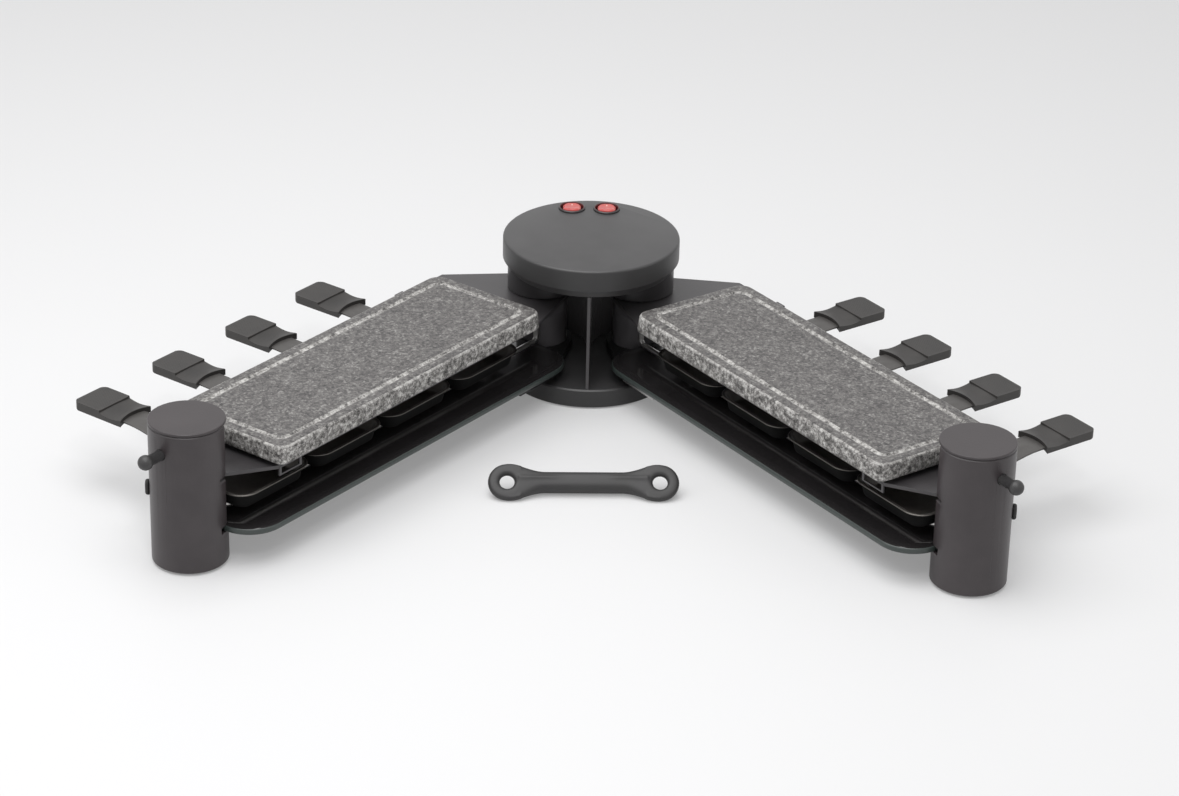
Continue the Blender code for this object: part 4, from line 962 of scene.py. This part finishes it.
for side_name, side in SIDES.items():
    rings = [
        [(x, y, height) for x, y in ring_points(
            TRAY_LOW, TRAY_HIGH, TRAY_CORNER, inset, TRAY_CORNER_STEPS,
        )]
        for inset, height in TRAY_RINGS
    ]
    tray = piece(
        "glass_tray_" + side_name, lofted("glass_tray", rings), [glass_top, glass_edge],
        "tray_" + side_name, ["tray_" + side_name], arm_place(side),
    )
    for polygon in tray.data.polygons:
        polygon.material_index = 1 if abs(polygon.normal.z) < EDGE_FACE else 0
    dress("tray_bracket_" + side_name, bracket_steel, 0.0005)


# Legs
# Each leg is a round steel tube, enamelled satin black, with a mouth on the arm's side and slots
# for the tray and the hood. It has a lid, a rubber foot, and a core rod for the hood and the rail.

LEG_REACH, LEG_RADIUS = 0.4409, 0.03
leg_enamel = Finish("leg_enamel", (0.034, 0.032, 0.033), 0.38, specular_ior_level=0.5)
drawn = leg_enamel.noise(0.0014, 2.0, (1, 1, 0.02))
dust = leg_enamel.noise(0.03, 3.0)
dusty = leg_enamel.spread(dust, 0.35, 0.7)
leg_enamel.colour(leg_enamel.mix(dusty, (0.033, 0.027, 0.029), (0.043, 0.036, 0.038)))
leg_enamel.rough(0.32 + 0.14 * dust)
leg_enamel.bump(drawn + 0.4 * leg_enamel.noise(0.0020, 1.5), 0.00005)
core_steel = steel("core_steel", (0.34, 0.33, 0.33), (0.22, 0.21, 0.21), 0.38, (1, 1, 0.05))
for side_name in SIDES:
    dress("leg_tube_" + side_name, leg_enamel, 0.0006)
    dress("leg_cap_" + side_name, leg_enamel, 0.0004)
    dress("leg_core_" + side_name, core_steel, 0.0003)
    dress("leg_foot_" + side_name, rubber, 0.0005)


# Pegs and studs
# The ball-ended peg holds the carry handle when the arms are folded. The small oval stud below it
# is a rubber buffer.

PEG_HEIGHT, PEG_STEPS = 0.1010, 40
PEG_STEM, PEG_BALL, PEG_LENGTH, PEG_BALL_STEPS = 0.0043, 0.0060, 0.0160, 18
NUT_RADIUS, NUT_FRONT, NUT_BACK = 0.0070, -0.0037, -0.0067
STUD_HEIGHT, STUD_TURN, STUD_OUT = 0.0610, math.radians(53), 0.0303
STUD_HALF_WIDTH, STUD_HALF_HEIGHT, STUD_STEPS = 0.0040, 0.0065, 32
STUD_RINGS = (
    (0.0000, 0.0000), (0.0000, 0.0016), (0.0004, 0.0024), (0.0011, 0.0029), (0.0022, 0.0030),
)


def peg_mesh(name):
    """A stem with a ball at its end and a round nut inside the leg."""
    meet = math.acos(PEG_STEM / PEG_BALL)
    profile = []
    for i in range(PEG_BALL_STEPS + 1):
        turn = math.pi / 2 - (math.pi / 2 + meet) * i / PEG_BALL_STEPS
        profile.append((PEG_BALL * math.cos(turn), PEG_LENGTH + PEG_BALL * math.sin(turn)))
    profile[0] = (0.0, PEG_LENGTH + PEG_BALL)
    profile += [
        (PEG_STEM, 0.0006), (PEG_STEM, NUT_FRONT), (NUT_RADIUS, NUT_FRONT), (NUT_RADIUS, NUT_BACK),
        (0.0, NUT_BACK),
    ]
    return turned(name, profile, PEG_STEPS)


def stud_mesh(name):
    """An upright oval button with a rounded face."""
    straight = STUD_HALF_HEIGHT - STUD_HALF_WIDTH
    rings = []
    for inset, out in STUD_RINGS:
        half = STUD_HALF_WIDTH - inset
        ring = []
        for i in range(STUD_STEPS):
            turn = math.tau * i / STUD_STEPS
            shift = straight if i <= STUD_STEPS / 2 else -straight
            ring.append((out, half * math.cos(turn), half * math.sin(turn) + shift))
        rings.append(ring)
    return lofted(name, rings)


for side_name, side in SIDES.items():
    at_leg = arm_place(side) @ Matrix.Translation((LEG_REACH, 0, 0))
    at_peg = at_leg @ Matrix.Translation((LEG_RADIUS, 0, PEG_HEIGHT))
    piece(
        "handle_peg_" + side_name, peg_mesh("handle_peg"), [drum_finish], "arm_" + side_name,
        ["peg_" + side_name],
        at_peg @ Matrix.Rotation(math.pi / 2, 4, "Y"),
    )
    at_stud = at_leg @ Matrix.Rotation(side * STUD_TURN, 4, "Z")
    piece(
        "buffer_" + side_name, stud_mesh("buffer"), [rubber], "arm_" + side_name,
        ["leg_stud_" + side_name],
        at_stud @ Matrix.Translation((STUD_OUT, 0, STUD_HEIGHT)),
    )


# Carry handle
# A loose moulded bar with a dished eye at each end. The eyes hook over the pegs of the folded arms.
# It rests tilted on the table, on the rims of the eyes and the back of its grip.

HANDLE_AT, HANDLE_TURN = (0.0008, -0.2250, 0.01088), math.radians(2.8)
HANDLE_TILT = math.radians(40)
EYE_AT, EYE_RADIUS, EYE_STEPS = 0.0615, 0.0155, 72
EYE_PROFILE = (
    (0.0059, 0.0000), (0.0061, 0.0014), (0.0069, 0.0027), (0.0084, 0.0035), (0.0108, 0.0036),
    (0.0130, 0.0034), (0.0145, 0.0028), (0.0153, 0.0016), (0.0155, 0.0000),
)
BAR_HALF, BAR_THICK = 0.00825, 0.0074
BAR_STRAIGHT, BAR_WIDENING, BAR_STOP = 0.0310, 0.0285, 0.0520
BAR_UP, BAR_BACK = 0.0017, 0.0043
BAR_ROUNDING = 0.72
BAR_HALF_STATIONS, BAR_POINTS = 26, 40
SHOULDER_FROM, SHOULDER_LAP, SHOULDER_STATIONS = 0.0088, 0.002, 10
SHOULDER_POINTS = (
    (0.0, -0.0033), (0.80, -0.0033), (0.93, -0.0027), (1.0, -0.0012),
    (1.0, 0.0012), (0.93, 0.0027), (0.80, 0.0033), (0.0, 0.0033),
)
RIDGE_HEIGHT, RIDGE_AT, RIDGE_SPREAD, RIDGE_FROM, RIDGE_RUN = 0.0012, 0.22, 0.14, 0.014, 0.016
VOXEL, RELAX_SHARE, RELAX_TIMES = 0.0008, 0.5, 6


def eased(share):
    """Runs from 0 to 1 with a soft start and end."""
    share = held(share)
    return share * share * (3 - 2 * share)


def bar_half(along):
    """Half the bar's width: straight at the grip, then widening until it is as broad as the eye."""
    return BAR_HALF + (EYE_RADIUS - BAR_HALF) * eased((along - BAR_STRAIGHT) / BAR_WIDENING)


def shoulder_rings(end, edge):
    """The strip beside the hole, from the bar's end to the middle of the eye."""
    start = BAR_STOP - SHOULDER_LAP
    rings = []
    for i in range(SHOULDER_STATIONS + 1):
        along = start + (EYE_AT - start) * i / SHOULDER_STATIONS
        width = bar_half(along) - SHOULDER_FROM
        rings.append([
            (end * along, edge * (SHOULDER_FROM + width * share), height)
            for share, height in SHOULDER_POINTS
        ])
    return rings


def bar_ring(x):
    """One section of the bar, with a soft ridge on its face that begins beside the middle."""
    near_eye = eased((abs(x) - BAR_STRAIGHT) / (BAR_STOP - BAR_STRAIGHT))
    half = bar_half(abs(x))
    thick = BAR_THICK + (EYE_PROFILE[4][1] - BAR_THICK) * near_eye
    ridge = RIDGE_HEIGHT * eased((abs(x) - RIDGE_FROM) / RIDGE_RUN)
    ring = []
    for k in range(BAR_POINTS):
        turn = math.tau * k / BAR_POINTS
        c, s = math.cos(turn), math.sin(turn)
        width = math.copysign(abs(c) ** BAR_ROUNDING, c)
        out = math.copysign(abs(s) ** BAR_ROUNDING, s)
        swell = ridge * math.exp(-((width - RIDGE_AT) / RIDGE_SPREAD) ** 2) if s > 0 else 0
        y = BAR_UP * (1 - near_eye) + half * width
        ring.append((x, y, thick * out + swell - BAR_BACK * (1 - near_eye)))
    return ring


def handle_mesh(name):
    """Two turned eyes with dished holes and a bar between them, to be run together."""
    edited = bmesh.new()
    profile = list(EYE_PROFILE) + [(radius, -height) for radius, height in EYE_PROFILE[-2:0:-1]]
    for end in (-1, 1):
        loops = []
        for i in range(EYE_STEPS):
            turn = math.tau * i / EYE_STEPS
            c, s = math.cos(turn), math.sin(turn)
            loops.append([
                edited.verts.new((end * EYE_AT + radius * c, radius * s, height))
                for radius, height in profile
            ])
        for i in range(EYE_STEPS):
            for k in range(len(profile)):
                first, second = loops[i - 1], loops[i]
                edited.faces.new((first[k - 1], second[k - 1], second[k], first[k]))
    stations = range(2 * BAR_HALF_STATIONS + 1)
    runs = [[bar_ring(BAR_STOP * (i / BAR_HALF_STATIONS - 1)) for i in stations]]
    runs += [shoulder_rings(end, edge) for end in (-1, 1) for edge in (-1, 1)]
    for rings in runs:
        loops = [[edited.verts.new(point) for point in ring] for ring in rings]
        for first, second in zip(loops, loops[1:]):
            for k in range(len(first)):
                edited.faces.new((first[k - 1], first[k], second[k], second[k - 1]))
        edited.faces.new(loops[0])
        edited.faces.new(loops[-1])
    tilt = Matrix.Rotation(HANDLE_TILT, 4, "X")
    bmesh.ops.transform(edited, matrix=tilt, verts=edited.verts)
    return shape(name, edited)


handle_finish = moulded("handle_rubber", (0.021, 0.020, 0.021), (0.027, 0.026, 0.026), 0.5, 0.0006)
handle = piece(
    "carry_bar", handle_mesh("carry_bar"), [handle_finish], "carry_handle", ["carry_handle"],
    Matrix.Translation(HANDLE_AT) @ Matrix.Rotation(HANDLE_TURN, 4, "Z"),
)
together = handle.modifiers.new("together", "REMESH")
together.mode = "VOXEL"
together.voxel_size = VOXEL
together.use_smooth_shade = True
relax = handle.modifiers.new("relax", "SMOOTH")
relax.factor = RELAX_SHARE
relax.iterations = RELAX_TIMES
